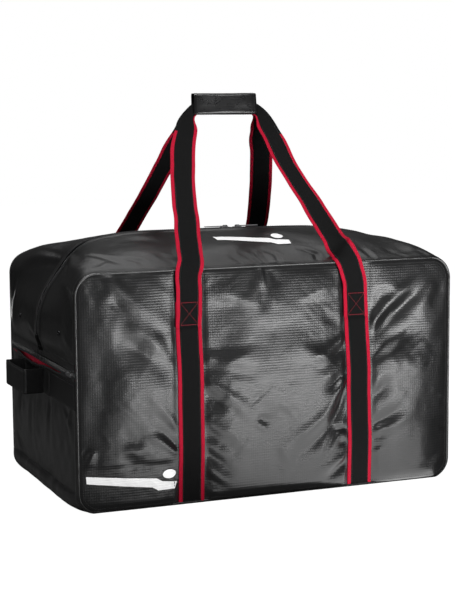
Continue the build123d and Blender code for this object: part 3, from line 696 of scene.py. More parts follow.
def outline_point(t, inset=0.0, low=None):
    """A point of the panel outline, t from 0 to 1 right round from the middle of the base."""
    rb, rt = BOT_R - inset, TOP_R - inset
    x1, z0, z1 = HX - inset, inset, SIDE - inset
    xb, xt = HX - BOT_R, HX - TOP_R
    parts = [xb, rb * math.pi / 2, (SIDE - TOP_R) - BOT_R, rt * math.pi / 2, 2 * xt, rt * math.pi / 2,
             (SIDE - TOP_R) - BOT_R, rb * math.pi / 2, xb]
    s = (t % 1.0) * sum(parts)
    for k, L in enumerate(parts):
        if s <= L or k == 8:
            break
        s -= L
    if k == 0:
        return s, z0
    if k == 1:
        a = s / rb
        return xb + rb * math.sin(a), BOT_R - rb * math.cos(a)
    if k == 2:
        return x1, BOT_R + s
    if k == 3:
        a = s / rt
        return xt + rt * math.cos(a), SIDE - TOP_R + rt * math.sin(a)
    if k == 4:
        return xt - s, z1
    if k == 5:
        a = s / rt
        return -xt - rt * math.sin(a), SIDE - TOP_R + rt * math.cos(a)
    if k == 6:
        return -x1, SIDE - TOP_R - s
    if k == 7:
        a = s / rb
        return -xb - rb * math.cos(a), BOT_R - rb * math.sin(a)
    return -xb + s, z0


front_cloth = make_panel(-1)
back_cloth = make_panel(1)

# ------------------------------------------------------------------ piping
for side, name in ((-1, "front_piping"), (1, "back_piping")):
    n = 760
    ring = np.array([outline_point(t, 1.2) for t in np.arange(n) / n])
    s = np.linspace(0, 2400, n, endpoint=False)
    wob = 0.35 * vnoise(s / 31.0, 0 * s, 7 + side) + 0.18 * vnoise(s / 9.0, 0 * s, 17 + side)
    wob = wob * sstep(0, 60, s) * sstep(2400, 2340, s)
    y = side * (HY + 1.7 + wob)
    C = np.stack([ring[:, 0], y, np.maximum(ring[:, 1], 3.0)], -1)
    B = Build()
    B.tube(C, 2.75, 0, 12, closed=True, up=(0, 1, 0))
    ob = B.obj(name + "_cord", [PIPING], sharp=80)
    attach(ob, "bag_shell")
    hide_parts(name)


# ------------------------------------------------------------------ gusset over the top and down the ends
def ridge_z(y):
    return SIDE + (RIDGE - SIDE) * (1 - (y / HY) ** 2)


def corner_r(y):
    return TOP_R + (RIDGE_R - TOP_R) * (1 - np.abs(y) / HY)


S_ARC0, S_ARC1 = HX - RIDGE_R, HX - RIDGE_R + RIDGE_R * math.pi / 2

# creases in (length from the middle, y); the ends start near length 480
TOP_LEFT = [
    ([(318, -196), (346, -222), (366, -236)], -2.0, 6.0, 0.8, 0.8),
    ([(366, -128), (330, -170), (300, -205), (296, -236)], 2.4, 9.0, 0.6, 0.9),
    ([(300, -176), (262, -206), (250, -236)], 1.8, 7.0, 0.6, 1.0),
    ([(372, -20), (384, -90), (398, -150), (396, -215)], -5.0, 12.0, 1.0, 0.8),
    ([(222, -170), (190, -212), (178, -238)], 2.0, 9.0, 0.5, 1.0),
    ([(248, -60), (170, -95)], 2.0, 18.0, 0.7, 0.6),
    ([(22, -238), (34, -214), (42, -176)], 3.6, 5.5, 1.0, 0.2),
    ([(6, -238), (12, -212), (4, -170)], 3.0, 5.5, 1.0, 0.2),
    ([(58, -238), (62, -216), (74, -192)], 2.4, 5.5, 1.0, 0.2),
    ([(560, -226), (550, -190), (546, -150)], 2.2, 9.0, 1.0, 0.2),
]
TOP_LEFT_BACK = [
    ([(575, 24), (562, 70), (572, 150)], 2.4, 8.0, 1.0, 0.3),
    ([(388, 40), (402, 110), (420, 200)], -3.0, 13.0, 1.0, 0.6),
    ([(440, 196), (500, 214), (570, 216)], 2.6, 10.0, 0.8, 0.8),
    ([(300, 236), (290, 190), (310, 140)], 2.2, 9.0, 1.0, 0.3),
    ([(180, 238), (196, 190), (188, 150)], 2.0, 9.0, 1.0, 0.3),
    ([(60, 238), (54, 200), (70, 170)], 2.2, 9.0, 1.0, 0.3),
]
r2 = np.random.RandomState(12)
TOP_RIGHT, TOP_RIGHT_BACK = [], []
for lst, sy in ((TOP_RIGHT, -1), (TOP_RIGHT_BACK, 1)):
    for x0 in (30, 96, 158, 232, 300, 352):
        x0 = x0 + r2.uniform(-12, 12)
        lst.append(([(x0, sy * 238), (x0 + r2.uniform(-14, 14), sy * 205), (x0 + r2.uniform(-30, 30), sy * 165)], r2.uniform(1.6, 3.2), r2.uniform(6, 10), 1.0, 0.2))
    for s0 in (430, 486, 548):
        lst.append(([(s0, sy * 232), (s0 + r2.uniform(-14, 14), sy * 190), (s0 + r2.uniform(-30, 30), sy * 130)], r2.uniform(2.0, 3.6), r2.uniform(8, 13), 1.0, 0.2))
    lst.append(([(392, sy * 40), (412, sy * 120), (436, sy * 215)], -3.8, 14.0, 1.0, 0.7))


def gusset_base(y, col):
    """Point on the plain gusset surface of the -X half. col is an array of (kind, t)."""
    kind, t = col[:, 0], col[:, 1]
    zt, r = ridge_z(y)[:, None], corner_r(y)[:, None]
    a = np.pi / 2 * t[None]
    x0, z0 = -(HX - r) * t[None], zt + 0 * t[None]
    x1, z1 = -(HX - r) - r * np.sin(a), zt - r + r * np.cos(a)
    x2, z2 = -HX + 0 * zt + 0 * t[None], (zt - r) + (ZIP_TOP - (zt - r)) * t[None]
    k = kind[None]
    x = np.where(k == 0, x0, np.where(k == 1, x1, x2))
    z = np.where(k == 0, z0, np.where(k == 1, z1, z2))
    s = np.where(k == 0, (HX - r) * t[None], np.where(k == 1, (HX - r) + r * a, (HX - r) + r * np.pi / 2 + (zt - r - ZIP_TOP) * t[None]))
    return np.stack([x, np.broadcast_to(y[:, None], x.shape), z], -1), s


COLS = np.array([(0, t) for t in np.linspace(0, 1, 84)[:-1]] + [(1, t) for t in np.linspace(0, 1, 40)[:-1]] + [(2, t) for t in np.linspace(0, 1, 36)])


ZIP_LEFT = np.array([(0, 0), (200, -1), (241, -4), (274, -9), (310, -18), (345, -26), (380, -32), (407, -33), (432, -29), (455, -21), (470, -13), (486, -5), (513, 4), (554, 7), (600, 6)], float)
ZIP_RIGHT = np.array([(0, 0), (200, -4), (268, -11), (290, -15.5), (310, -19), (330, -20), (350, -17), (375, -9), (400, -1), (430, 3), (470, 3), (560, 4), (600, 4)], float)


def slump(s, y, left):
    """How far the filled bag sits inside or outside the even profile at the rounded top corners."""
    tab = ZIP_LEFT if left else ZIP_RIGHT
    fine = np.linspace(0, 600, 601)
    v = np.interp(fine, tab[:, 0], tab[:, 1])
    ker = np.exp(-(np.arange(-30, 31) / 13.0) ** 2)
    v = np.convolve(np.pad(v, 30, mode="edge"), ker / ker.sum(), mode="valid")
    d = np.interp(s, fine, v)
    ay = np.abs(np.asarray(y, float))
    if left:
        w = np.exp(-(ay / 128.0) ** 2)
    else:
        w = 1 - np.clip(ay / HY, 0, 1) ** 3
    return d * w * sstep(0, 40, HY - ay)


def gusset_disp(s, y, left, front):
    ay = np.abs(y)
    edge = HY - ay
    hem = ay
    creases = (TOP_LEFT if front else TOP_LEFT_BACK) if left else (TOP_RIGHT if front else TOP_RIGHT_BACK)
    D = np.zeros(s.shape)
    for pts, depth, width, a0, a1 in creases:
        D = D + fold(s, y, pts, depth, width, a0, a1)
    sx = s * (-1 if left else 1)
    calm = 1 - 0.72 * sstep(330, 420, s)
    D = D + (2.4 * vnoise(sx / 120.0, y / 85.0, 21) + 1.1 * vnoise(sx / 50.0, y / 56.0, 22) + 0.3 * vnoise(sx / 21.0, y / 25.0, 23)) * calm
    # a shallow hollow runs between the ridge and the side seam
    D = D - 2.2 * np.sin(np.clip((ay - 12) / (HY - 12), 0, 1) * np.pi) * sstep(430, 300, s)
    D = D * (1 - np.exp(-edge / 16.0)) * (0.22 + 0.78 * sstep(9, 36, hem))
    D = D + slump(s, y, left)
    # the joining end at the pocket zip lies flat
    end = s_end(y) - s
    D = D * sstep(-2, 26, end)
    # the end bellies out between the two piped edges, most of all near its rear edge
    if left:
        bel = 3.5 * np.sin(np.clip((ay + 6) / (HY + 6), 0, 1) * np.pi) + (6.5 * np.exp(-((y - 205) / 34.0) ** 2) if not front else 3.0 * np.exp(-((y + 200) / 30.0) ** 2))
    else:
        bel = 3.5 * np.sin(np.clip((ay + 6) / (HY + 6), 0, 1) * np.pi)
    D = D + bel * sstep(450, 520, s) * sstep(-2, 40, end) * (1 - np.exp(-edge / 7.0))
    # lapped seam beside the piping, and the turned hem beside the zip
    D = D + 0.9 * sstep(10.5, 8.5, edge) * sstep(0.0, 3.0, edge) + 1.7 * sstep(20.0, 17.0, hem)
    return D


def s_end(y):
    zt, r = ridge_z(y), corner_r(y)
    return (HX - r) + r * np.pi / 2 + (zt - r - ZIP_TOP)


HEM = 10.5
GUSSET_N = {}


def make_gusset(left, front):
    sy = -1 if front else 1
    frac = np.linspace(0, 1, 66)
    y = sy * (HEM + (HY - 0.2 - HEM) * frac)
    base, s = gusset_base(y, COLS)
    yy = base[..., 1]
    n = normals(base)
    # make the normal point up or out
    mid = n[30, 10]
    if mid[2] < 0:
        n = -n
    D = gusset_disp(s, yy, left, front)
    P = base + n * D[..., None]
    P[:, 0, 0] = 0.0
    # pull the hem edge down onto the tape
    P = P - n * (0.5 * sstep(11.0, 9.0, np.abs(yy)))[..., None]
    if not left:
        P = P * np.array([-1, 1, 1])
        base = base * np.array([-1, 1, 1])
        n = n * np.array([-1, 1, 1])
    uv = np.stack([s * (-1 if left else 1), yy], -1)
    N = normals(P)
    flip = 1 if np.sum(N[30, 10] * n[30, 10]) > 0 else -1
    B = Build()
    N = B.shell(P, uv, 2.0, 0, 1, out=flip)
    # stitch rows: beside the piping and along the zip hem
    for dist in (6.5, ):
        f = (HY - 0.2 - dist - HEM) / (HY - 0.2 - HEM)
        k = f * (len(frac) - 1)
        i0, w = int(k), k - int(k)
        line = P[i0] * (1 - w) + P[i0 + 1] * w
        B.stitches(line, N[i0], 2)
    f = 4.5 / (HY - 0.2 - HEM)
    k = f * (len(frac) - 1)
    i0, w = int(k), k - int(k)
    line = P[i0] * (1 - w) + P[i0 + 1] * w
    B.stitches(line, N[i0], 2)
    name = f"{'left' if left else 'right'}_{'front' if front else 'back'}_gusset"
    ob = B.obj(name, [GUSSET, INNER, THREAD])
    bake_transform(ob)
    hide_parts(f"{'left' if left else 'right'}_{'front' if front else 'back'}_top_corner", "top_front_flap" if front else "top_back_flap")
    GUSSET_N[(left, front)] = (y, base, s, P, N)
    return ob


for left in (True, False):
    for front in (True, False):
        g = make_gusset(left, front)


def on_gusset(x, y, lift=0.0):
    """Points of the finished front top surface, left or right half, at given x, y on the straight part."""
    out = np.zeros((len(x), 3))
    for i, (a, b) in enumerate(zip(x, y)):
        left = a < 0
        ys, base, s, P, N = GUSSET_N[(left, b < 0)]
        fr = (abs(b) - HEM) / (HY - 0.2 - HEM) * (len(ys) - 1)
        r = int(np.clip(fr, 0, len(ys) - 2))
        w = fr - r
        row = P[r] * (1 - w) + P[r + 1] * w
        rn = N[r] * (1 - w) + N[r + 1] * w
        order = np.argsort(row[:84, 0])
        xs = row[:84, 0][order]
        out[i] = (a, b, np.interp(a, xs, row[:84, 2][order]) + lift)
    return out


# ------------------------------------------------------------------ zips
def zip_path(s):
    """Centre of the zip at length s from the middle, in the plane y = 0 of the -X half, and its outward side."""
    s = np.asarray(s, float)
    r, zt = RIDGE_R, RIDGE
    a = np.clip((s - S_ARC0) / r, 0, np.pi / 2)
    x = np.where(s < S_ARC0, -s, np.where(s < S_ARC1, -(HX - r) - r * np.sin(a), -HX))
    z = np.where(s < S_ARC0, zt, np.where(s < S_ARC1, zt - r + r * np.cos(a), zt - r - (s - S_ARC1)))
    n = np.stack([-np.sin(a), 0 * a, np.cos(a)], -1)
    return np.stack([x, 0 * x, z], -1), n


def zip_line(s, left):
    """The zip's real line, following the slumped corner."""
    C, n = zip_path(s)
    flat = sstep(S_TAB + 30, S_TAB + 2, s) if np.ndim(s) else 1.0
    C = C + n * slump(s, 9.0, left)[:, None]
    e = 1.5
    A, na = zip_path(s - e)
    Bp, nb = zip_path(s + e)
    A = A + na * slump(s - e, 9.0, left)[:, None]
    Bp = Bp + nb * slump(s + e, 9.0, left)[:, None]
    T = Bp - A
    T /= np.linalg.norm(T, axis=1, keepdims=True)
    return C, np.stack([T[:, 2], 0 * s, -T[:, 0]], -1)


def zip_part(B, s0, s1, side, sx, mats=(0, 1), drop=1.0, teeth_lift=0.2):
    """Tape and coil of one half of the zip, between lengths s0 and s1."""
    s = np.linspace(s0, s1, max(2, int((s1 - s0) / 5.0) + 1))
    left = sx > 0
    C, n = zip_line(s, left)
    off = np.array([0.4, 3.0, 6.0, 9.0, 13.0, 18.0, 24.0])
    P = C[:, None, :] - n[:, None, :] * (drop + 0.12 * off)[None, :, None] + np.array([0, side, 0])[None, None] * off[None, :, None]
    P[..., 0] *= sx
    uv = np.stack([np.broadcast_to(side * off[None], P.shape[:2]), np.broadcast_to(s[:, None], P.shape[:2])], -1)
    nn = normals(P)
    want = n[0] * np.array([sx, 1, 1])
    B.shell(P, uv, 0.8, mats[0], mats[0], out=1 if nn[0, 2] @ want > 0 else -1)
    pitch = 2.6
    m = int((s1 - s0) / pitch)
    c = s0 + (np.arange(m) + (0.25 if side < 0 else 0.75)) * pitch
    C, n = zip_line(c, left)
    C2, _ = zip_line(c + 0.5, left)
    T = C2 - C
    T /= np.linalg.norm(T, axis=1, keepdims=True)
    b = np.array([0, side, 0.0])[None]
    C = C + n * teeth_lift
    rows = []
    for g, hgt, l in ((-1.0, 0.55, 0.45), (0.2, 0.95, 0.62), (3.1, 0.95, 0.62), (3.9, 0.4, 0.5)):
        rows += [C + b * g - T * l - n * hgt, C + b * g + T * l - n * hgt, C + b * g + T * l + n * hgt, C + b * g - T * l + n * hgt]
    V = np.stack(rows, 1)
    V[..., 0] *= sx
    F = []
    for k in range(m):
        o = k * 16
        for q in range(3):
            for e in range(4):
                F.append([o + q * 4 + e, o + q * 4 + (e + 1) % 4, o + q * 4 + 4 + (e + 1) % 4, o + q * 4 + 4 + e])
        F += [[o + 3, o + 2, o + 1, o], [o + 12, o + 13, o + 14, o + 15]]
    uvt = np.tile(np.array([[0, 0]]), (len(V.reshape(-1, 3)), 1)) + np.repeat(c, 16)[:, None]
    B.add(V.reshape(-1, 3), F, mats[1], uvt)


S_TAB = S_ARC1 + (RIDGE - RIDGE_R) - 318.0
for left in (True, False):
    sx = 1 if left else -1
    nm = "left" if left else "right"
    B = Build()
    for side in (-1, 1):
        zip_part(B, 325.0, S_TAB, side, sx)
    ob = B.obj(f"{nm}_end_zip_chain", [TAPE, TEETH], sharp=40, recalc=True)
    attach(ob, "bag_shell")
    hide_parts(f"{nm}_end_zip")
    for side, flap, node in ((-1, "front_flap", "main_zip_front"), (1, "back_flap", "main_zip_back")):
        B = Build()
        zip_part(B, 0.0, 325.0, side, sx)
        ob = B.obj(f"{nm}_{node}_chain", [TAPE, TEETH], sharp=40, recalc=True)
        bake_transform(ob)
        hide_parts(node)


# vent eyelets, set on the finished cloth
B = Build()
for left in (True, False):
    for front in (True, False):
        ys, base, s, P, N = GUSSET_N[(left, front)]
        near = np.hypot(P[..., 1] - (-147 if front else 147), P[..., 2] - 344.0)
        r, c = np.unravel_index(np.argmin(near), near.shape)
        nn = N[r, c]
        at = P[r, c] + (0, (-147 if front else 147) - P[r, c, 1], 344.0 - P[r, c, 2])
        u = np.cross(nn, [0, 0, 1.0])
        u /= np.linalg.norm(u)
        v = np.cross(nn, u)
        a = np.linspace(0, 2 * np.pi, 28, endpoint=False)
        ring = at + 4.6 * (np.cos(a)[:, None] * u + np.sin(a)[:, None] * v) + nn * 0.35
        B.tube(ring, 1.25, 0, 10, closed=True, up=nn)
        disc = at + 3.9 * (np.cos(a)[:, None] * u + np.sin(a)[:, None] * v) + nn * 0.12
        V = np.concatenate([disc, disc - nn * 1.2])
        k = len(a)
        B.add(V, [list(range(k)), list(range(2 * k - 1, k - 1, -1))] + [[i, i + k, (i + 1) % k + k, (i + 1) % k] for i in range(k)], 1)
ob = B.obj("vent_eyelet_rings", [BLACK_METAL, BLACK_INK], recalc=True)
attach(ob, "bag_shell")
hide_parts("vent_eyelets")


# ------------------------------------------------------------------ base, lower ends, pocket mouths
def lens(y):
    """0..1 opening of the pocket mouth along its length."""
    t = np.clip((np.asarray(y, float) + 150) / 352.0, 0, 1)
    base = np.sin(np.pi * t) ** 0.42
    return base * (0.40 + 0.66 * np.exp(-((y - 68) / 76.0) ** 4)) * (1 + 0.16 * vnoise(y / 15.0, 0 * y, 31))


def end_profile(n1=46, n2=22):
    """(x, z) of the lower end of the -X side from the pocket mouth to the start of the base."""
    z = np.linspace(260.0, BOT_R, n1)
    a = np.linspace(0, np.pi / 2, n2)
    px = np.concatenate([np.full(n1, -HX), -HX + BOT_R - BOT_R * np.cos(a[1:])])
    pz = np.concatenate([z, BOT_R - BOT_R * np.sin(a[1:])])
    return px, pz


END_FOLDS = [
    ([(-205, 196), (-196, 176), (-214, 150)], -4.0, 8.0, 1.0, 0.4),
    ([(-160, 204), (-190, 188), (-212, 168)], 3.4, 7.0, 1.0, 0.4),
    ([(68, 196), (70, 120), (74, 40)], 2.2, 12.0, 0.8, 0.8),
    ([(-60, 196), (-72, 140), (-66, 90)], 2.2, 10.0, 1.0, 0.4),
    ([(150, 198), (164, 150), (178, 110)], 3.0, 10.0, 1.0, 0.4),
    ([(-120, 60), (-60, 42), (20, 48)], 2.2, 10.0, 0.6, 0.6),
    ([(200, 90), (160, 60), (120, 30)], 2.4, 10.0, 0.7, 0.5),
]
for left in (True, False):
    sx = 1 if left else -1
    nm = "left" if left else "right"
    px, pz = end_profile()
    y = np.concatenate([np.linspace(-HY + 0.2, -232, 5)[:-1], np.linspace(-232, 232, 118), np.linspace(232, HY - 0.2, 5)[1:]])
    Y, X = np.meshgrid(y, px, indexing="ij")
    Z = np.meshgrid(y, pz, indexing="ij")[1]
    ys = Y if left else -Y
    edge = HY - np.abs(Y)
    belly = 7.0 * np.sin(np.clip((Z - 6) / 196.0, 0, 1) * np.pi) ** 0.9 * np.cos(np.clip(Y / HY, -1, 1) * np.pi / 2) ** 0.6
    D = belly + 3.0 * np.exp(-((ys - 206) / 36.0) ** 2)
    for pts, depth, width, a0, a1 in END_FOLDS:
        D = D + fold(ys, Z, pts, depth, width, a0, a1) * sstep(205, 180, Z)
    D = D + (1.7 * vnoise(ys / 60.0, Z / 70.0, 33) + 0.7 * vnoise(ys / 24.0, Z / 30.0, 34)) * sstep(204, 180, Z)
    D = D * (1 - np.exp(-edge / 12.0)) * sstep(-6, 30, Z)
    arc_t = np.clip(1 - Z / BOT_R, 0, 1)
    D = D + 14.0 * np.sin(np.clip(arc_t, 0, 1) * np.pi * 0.8 + 0.12) * (arc_t > 0) * (1 - np.exp(-edge / 26.0)) + 0.0
    D = D + 0.9 * sstep(10.5, 8.5, edge) * sstep(0, 3, edge) * sstep(203, 200, Z)
    D = D + 1.6 * lens(ys) * sstep(240, 259, Z)
    nx = np.where(Z > BOT_R, -1.0, (X - (-HX + BOT_R)) / BOT_R)
    nz = np.where(Z > BOT_R, 0.0, (Z - BOT_R) / BOT_R)
    P = np.stack([X + nx * D, Y, np.maximum(Z + nz * D, 0.0) - 8.6 * lens(ys) * sstep(225, 259, Z)], -1)
    P[..., 0] *= sx
    arc = np.concatenate([[0], np.cumsum(np.hypot(np.diff(px), np.diff(pz)))])
    uv = np.stack([Y, np.broadcast_to(260 - arc[None], Y.shape)], -1)
    N = normals(P)
    want = np.array([-sx, 0, 0])
    B = Build()
    N = B.shell(P, uv, 2.0, 0, 3, out=1 if N[60, 10] @ want > 0 else -1)
    for row in (2, len(y) - 3):
        B.stitches(P[row, 8:], N[row, 8:], 2)
    ob = B.obj(f"{nm}_end_cloth", [GUSSET, INNER, THREAD, LINING_PAINTED_BRIGHT])
    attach(ob, "bag_shell")
    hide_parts(f"{nm}_end_panel")

    # band above the slit with the upper chain, and the lower tape and chain
    for up in (True, False):
        B = Build()
        yy = np.linspace(-HY + 4.5, HY - 4.5, 240)
        yl = yy if left else -yy
        op = lens(yl)
        gather = np.exp(-((yl - 8) / 46.0) ** 2)
        rip = 2.2 * gather * np.sin(yl / 2.1 + 1.5 * vnoise(yl / 14.0, 0 * yl, 37)) + 0.35 * vnoise(yl / 6.0, 0 * yl, 38)
        if up:
            zs = np.array([294.5, 293.5, 290.0, 286.0, 282.0, 279.0, 278.2, 276.0, 273.0, 270.5, 268.6])
            out = np.array([0.6, 1.3, 1.5, 1.5, 1.4, 1.0, 0.3, 0.5, 0.6, 0.7, 0.8])
            wgt = np.array([0, 0, .1, .25, .4, .6, .7, .85, 1, 1, 1])
            Zg = zs[None] - (2.2 - 2.6 * op)[:, None] * wgt[None]
            Xg = -HX - out[None] - (rip[:, None] + 1.0 * op[:, None]) * wgt[None]
        else:
            zs = np.array([255.4, 256.5, 258.0, 259.4, 261.0, 262.6])
            out = np.array([2.0, 2.0, 1.9, 1.6, 1.2, 1.0])
            wgt = np.array([0.9, 1, 1, 1, 1, 1])
            Zg = zs[None] - 8.6 * op[:, None] * wgt[None]
            Xg = -HX - out[None] - 1.6 * op[:, None] - 0.4 * rip[:, None] * wgt[None]
        P = np.stack([Xg, np.broadcast_to(yy[:, None], Xg.shape), Zg], -1)
        P[..., 0] *= sx
        N = normals(P)
        fmat = 0
        if up:
            fm = np.zeros((len(yy) - 1, len(zs) - 1), int)
            fm[:, 6:] = 1
            fmat = fm
        uv = np.stack([np.broadcast_to(zs[None], Xg.shape), np.broadcast_to(yy[:, None], Xg.shape)], -1)
        N = B.shell(P, uv, 1.0, fmat, 1, out=1 if N[20, 2] @ want > 0 else -1)
        # coil along the lip
        k = -1
        lip = P[:, k].copy()
        ln = N[:, k]
        s = arclen(lip)
        m = int(s[-1] / 2.4)
        c = (np.arange(m) + (0.25 if up else 0.75)) * 2.4
        f = lambda A: np.stack([np.interp(c, s, A[:, q]) for q in range(3)], -1)
        c0, n0 = f(lip), f(ln)
        T = f(np.gradient(lip, axis=0))
        T /= np.linalg.norm(T, axis=1, keepdims=True)
        up_v = np.array([0, 0, -1.0 if up else 1.0])[None]
        c0 = c0 + n0 * 0.5
        rows = []
        for g, hgt, l in ((-2.6, 0.5, 0.45), (-1.6, 0.95, 0.6), (1.0, 0.95, 0.6), (1.9, 0.5, 0.45)):
            rows += [c0 + up_v * g - T * l - n0 * hgt, c0 + up_v * g + T * l - n0 * hgt, c0 + up_v * g + T * l + n0 * hgt, c0 + up_v * g - T * l + n0 * hgt]
        V = np.stack(rows, 1)
        F = []
        for kk in range(m):
            o = kk * 16
            for q in range(3):
                for e in range(4):
                    F.append([o + q * 4 + e, o + q * 4 + (e + 1) % 4, o + q * 4 + 4 + (e + 1) % 4, o + q * 4 + 4 + e])
            F += [[o + 3, o + 2, o + 1, o], [o + 12, o + 13, o + 14, o + 15]]
        B.add(V.reshape(-1, 3), F, 2, np.repeat(c, 16)[:, None] * np.ones((1, 2)))
        if up:
            for col in (1, 4):
                B.stitches(P[:, col], N[:, col], 3)
        ob = B.obj(f"{nm}_pocket_zip_{'top' if up else 'low'}", [GUSSET, TAPE, TEETH, THREAD], sharp=45, recalc=True)
        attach(ob, "bag_shell")
        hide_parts(f"{nm}_pocket_zip_{'upper' if up else 'lower'}")

    # crimson pocket lining: back wall, floor, and the fold that shows in the mouth
    prof = np.array([(-HX + 3.2, 292.0), (-HX + 9.0, 291.0), (-392.0, 286.0), (-394.0, 278.0), (-400.0, 270.0), (-404.5, 262.0), (-404.5, 254.0),
                     (-399.0, 245.0), (-391.5, 234.0), (-388.0, 215.0), (-388.0, 150.0), (-388.0, 90.0), (-389.0, 66.0), (-394.0, 58.5), (-HX + 3.4, 57.0)])
    prof = smooth_path(prof, 5.0, 2)
    yy = np.linspace(-HY + 4.0, HY - 4.0, 120)
    yl = yy if left else -yy
    X = prof[None, :, 0] + 0 * yy[:, None]
    Z = prof[None, :, 1] + 0 * yy[:, None]
    inside = np.sin(np.clip((Z - 57) / 235.0, 0, 1) * np.pi)
    puff = np.exp(-((Z - 259) / 11.0) ** 2) * (-5.0 + 5.4 * lens(yl)[:, None])
    X = X - puff + inside * (1.6 * vnoise(yl[:, None] / 24.0, Z / 30.0, 61) + 0.8 * vnoise(yl[:, None] / 9.0, Z / 12.0, 62)) * sstep(-403, -398, X)
    X = np.maximum(X, -HX + 0.4 + 2.6 * sstep(12, 20, np.abs(Z - 259)))
    P = np.stack([X * sx, np.broadcast_to(yy[:, None], X.shape), Z], -1)
    arc = arclen(prof)
    N = normals(P)
    B = Build()
    B.shell(P, np.stack([np.broadcast_to(arc[None], X.shape), np.broadcast_to(yy[:, None], X.shape)], -1), 0.9, 0, 0,
            out=1 if N[60, 25] @ want > 0 else -1)
    # the lining's near-full colour is painted light for the shaded mouth
    ob = B.obj(f"{nm}_pocket_cloth", [LINING_PAINTED_BRIGHT])
    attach(ob, "bag_shell")
    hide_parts(f"{nm}_pocket_lining")

    # stop tab at the end of the main zip
    B = Build()
    tz = np.linspace(327.0, 287.5, 16)
    ty = np.linspace(-16.0, 16.0, 13)
    Y, Z = np.meshgrid(ty, tz, indexing="ij")
    swell = (3.4 + 6.0 * sstep(294, 318, Z)) * (1 - (np.abs(Y) / 17.5) ** 4) * sstep(288, 296, Z) * sstep(327.5, 321, Z) + 1.0
    X = -HX - 0.4 - swell - 0.4 * vnoise(Y / 6.0, Z / 7.0, 71)
    P = np.stack([X * sx, Y, Z], -1)
    N = normals(P)
    N = B.shell(P, np.stack([Y, Z], -1), 1.6, 0, 0, out=1 if N[6, 6] @ want > 0 else -1)
    for col in (2, 11):
        B.stitches(P[:, col], N[:, col], 1, pitch=3.4, length=2.6)
    ob = B.obj(f"{nm}_zip_stop", [STOP, THREAD])
    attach(ob, "bag_shell")
    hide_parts(f"{nm}_zip_end_tab")

    # webbing band across the end, with its stitch rows
    B = Build()
    yy = np.linspace(-HY + 3.2, HY - 3.2, 120)
    ysd = yy if left else -yy
    C = np.stack([np.full(yy.shape, -sx * (HX + 1.1)), yy, np.full(yy.shape, 229.0)], -1)
    B.ribbon(C, np.tile([-sx, 0.0, 0.0], (len(yy), 1)), 25.6, red=False, thick=1.8, wave=0.0, mats=(0, 0))
    for yb in (-238.0, -22.0 - 17, -22.0 + 5.5, 118.0 - 5.5, 118.0 + 17, 235.0):
        yv = yb if left else -yb
        yv = yb
        p = np.array([(-sx * (HX + 2.1), np.clip(yv, -234, 234), z) for z in np.linspace(206, 252, 12)])
        B.stitches(p, np.tile([-sx, 0, 0], (len(p), 1)), 1, pitch=3.6, length=2.8)
    for zb in (205.8, 252.2):
        p = np.array([(-sx * (HX + 2.1), v, zb) for v in np.linspace(-234, 234, 60)])
        B.stitches(p, np.tile([-sx, 0, 0], (len(p), 1)), 1, pitch=3.8, length=2.9)
    # doubled feet of the loop, sewn on the band
    for y0, y1 in ((-66.0, -32.0), (128.0, 152.0)):
        yf = np.linspace(y0, y1, 14)
        C = np.stack([np.full(yf.shape, -sx * (HX + 2.9)), yf, np.full(yf.shape, 229.0)], -1)
        B.ribbon(C, np.tile([-sx, 0.0, 0.0], (len(yf), 1)), 25.4, red=False, thick=1.6, wave=0.0, mats=(0, 0))
        for yb in (y0 + 3, y1 - 8):
            p = np.array([(-sx * (HX + 3.8), yb, z) for z in np.linspace(207, 251, 12)])
            B.stitches(p, np.tile([-sx, 0, 0], (len(p), 1)), 1, pitch=3.6, length=2.8)
    # the band is drawn in the lightened webbing: its colour is painted light
    ob = B.obj(f"{nm}_end_band", [LIGHTENED_WEB, THREAD], recalc=True)
    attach(ob, "bag_shell")
    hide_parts(f"{nm}_end_handle_band")

    # the standing loop: two legs and the outer run
    foot, tip, run = HX + 4.2, HX + 40.2, HX + 44.2
    for part, y0 in (("front_leg", -22.0), ("rear_leg", 118.0)):
        B = Build()
        d = -1 if part == "front_leg" else 1
        t = np.linspace(0, 1, 16)
        C = np.stack([-sx * (foot + 0.2 + (tip - foot + 0.6) * t), y0 + d * 0.9 * np.sin(t * np.pi), np.full(t.shape, 229.0)], -1)
        B.ribbon(C, np.tile([0.0, d, 0.0], (len(t), 1)), 25.4, red=False, thick=2.4, wave=0.0, mats=(0, 0))
        ob = B.obj(f"{nm}_loop_{part}_web", [WEB, THREAD], recalc=True)
        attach(ob, f"{nm}_loop_{part}")
        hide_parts(f"{nm}_loop_{part}")
    B = Build()
    ctrl = [(tip - 1.0, -23.6), (tip + 2.4, -24.4), (run - 0.4, -21.5), (run + 0.3, -12.0), (run + 0.6, 20), (run + 1.0, 48), (run + 0.5, 76), (run + 0.2, 108.0), (run - 0.4, 117.5), (tip + 2.4, 120.4), (tip - 1.0, 119.6)]
    C2 = smooth_path(ctrl, 3.0, 3)
    C = np.stack([-sx * C2[:, 0], C2[:, 1], np.full(len(C2), 229.0)], -1)
    T = np.gradient(C, axis=0)
    N = np.cross(T, [0, 0, 1.0])
    if N[len(N) // 2] @ want < 0:
        N = -N
    T, N, W = B.ribbon(C, N, 25.4, red=False, thick=2.4, wave=0.5, mats=(0, 0), seed=80)
    for w in (-21.5, 21.5):
        B.stitches(C + N * 1.35 + np.array([0, 0, w]), N, 1, pitch=3.8, length=2.9)
    # the outer run uses the lightened webbing too (painted light); the legs use the plain black webbing
    ob = B.obj(f"{nm}_loop_run_web", [LIGHTENED_WEB, THREAD], recalc=True)
    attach(ob, f"{nm}_loop_run")
    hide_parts(f"{nm}_loop_run")

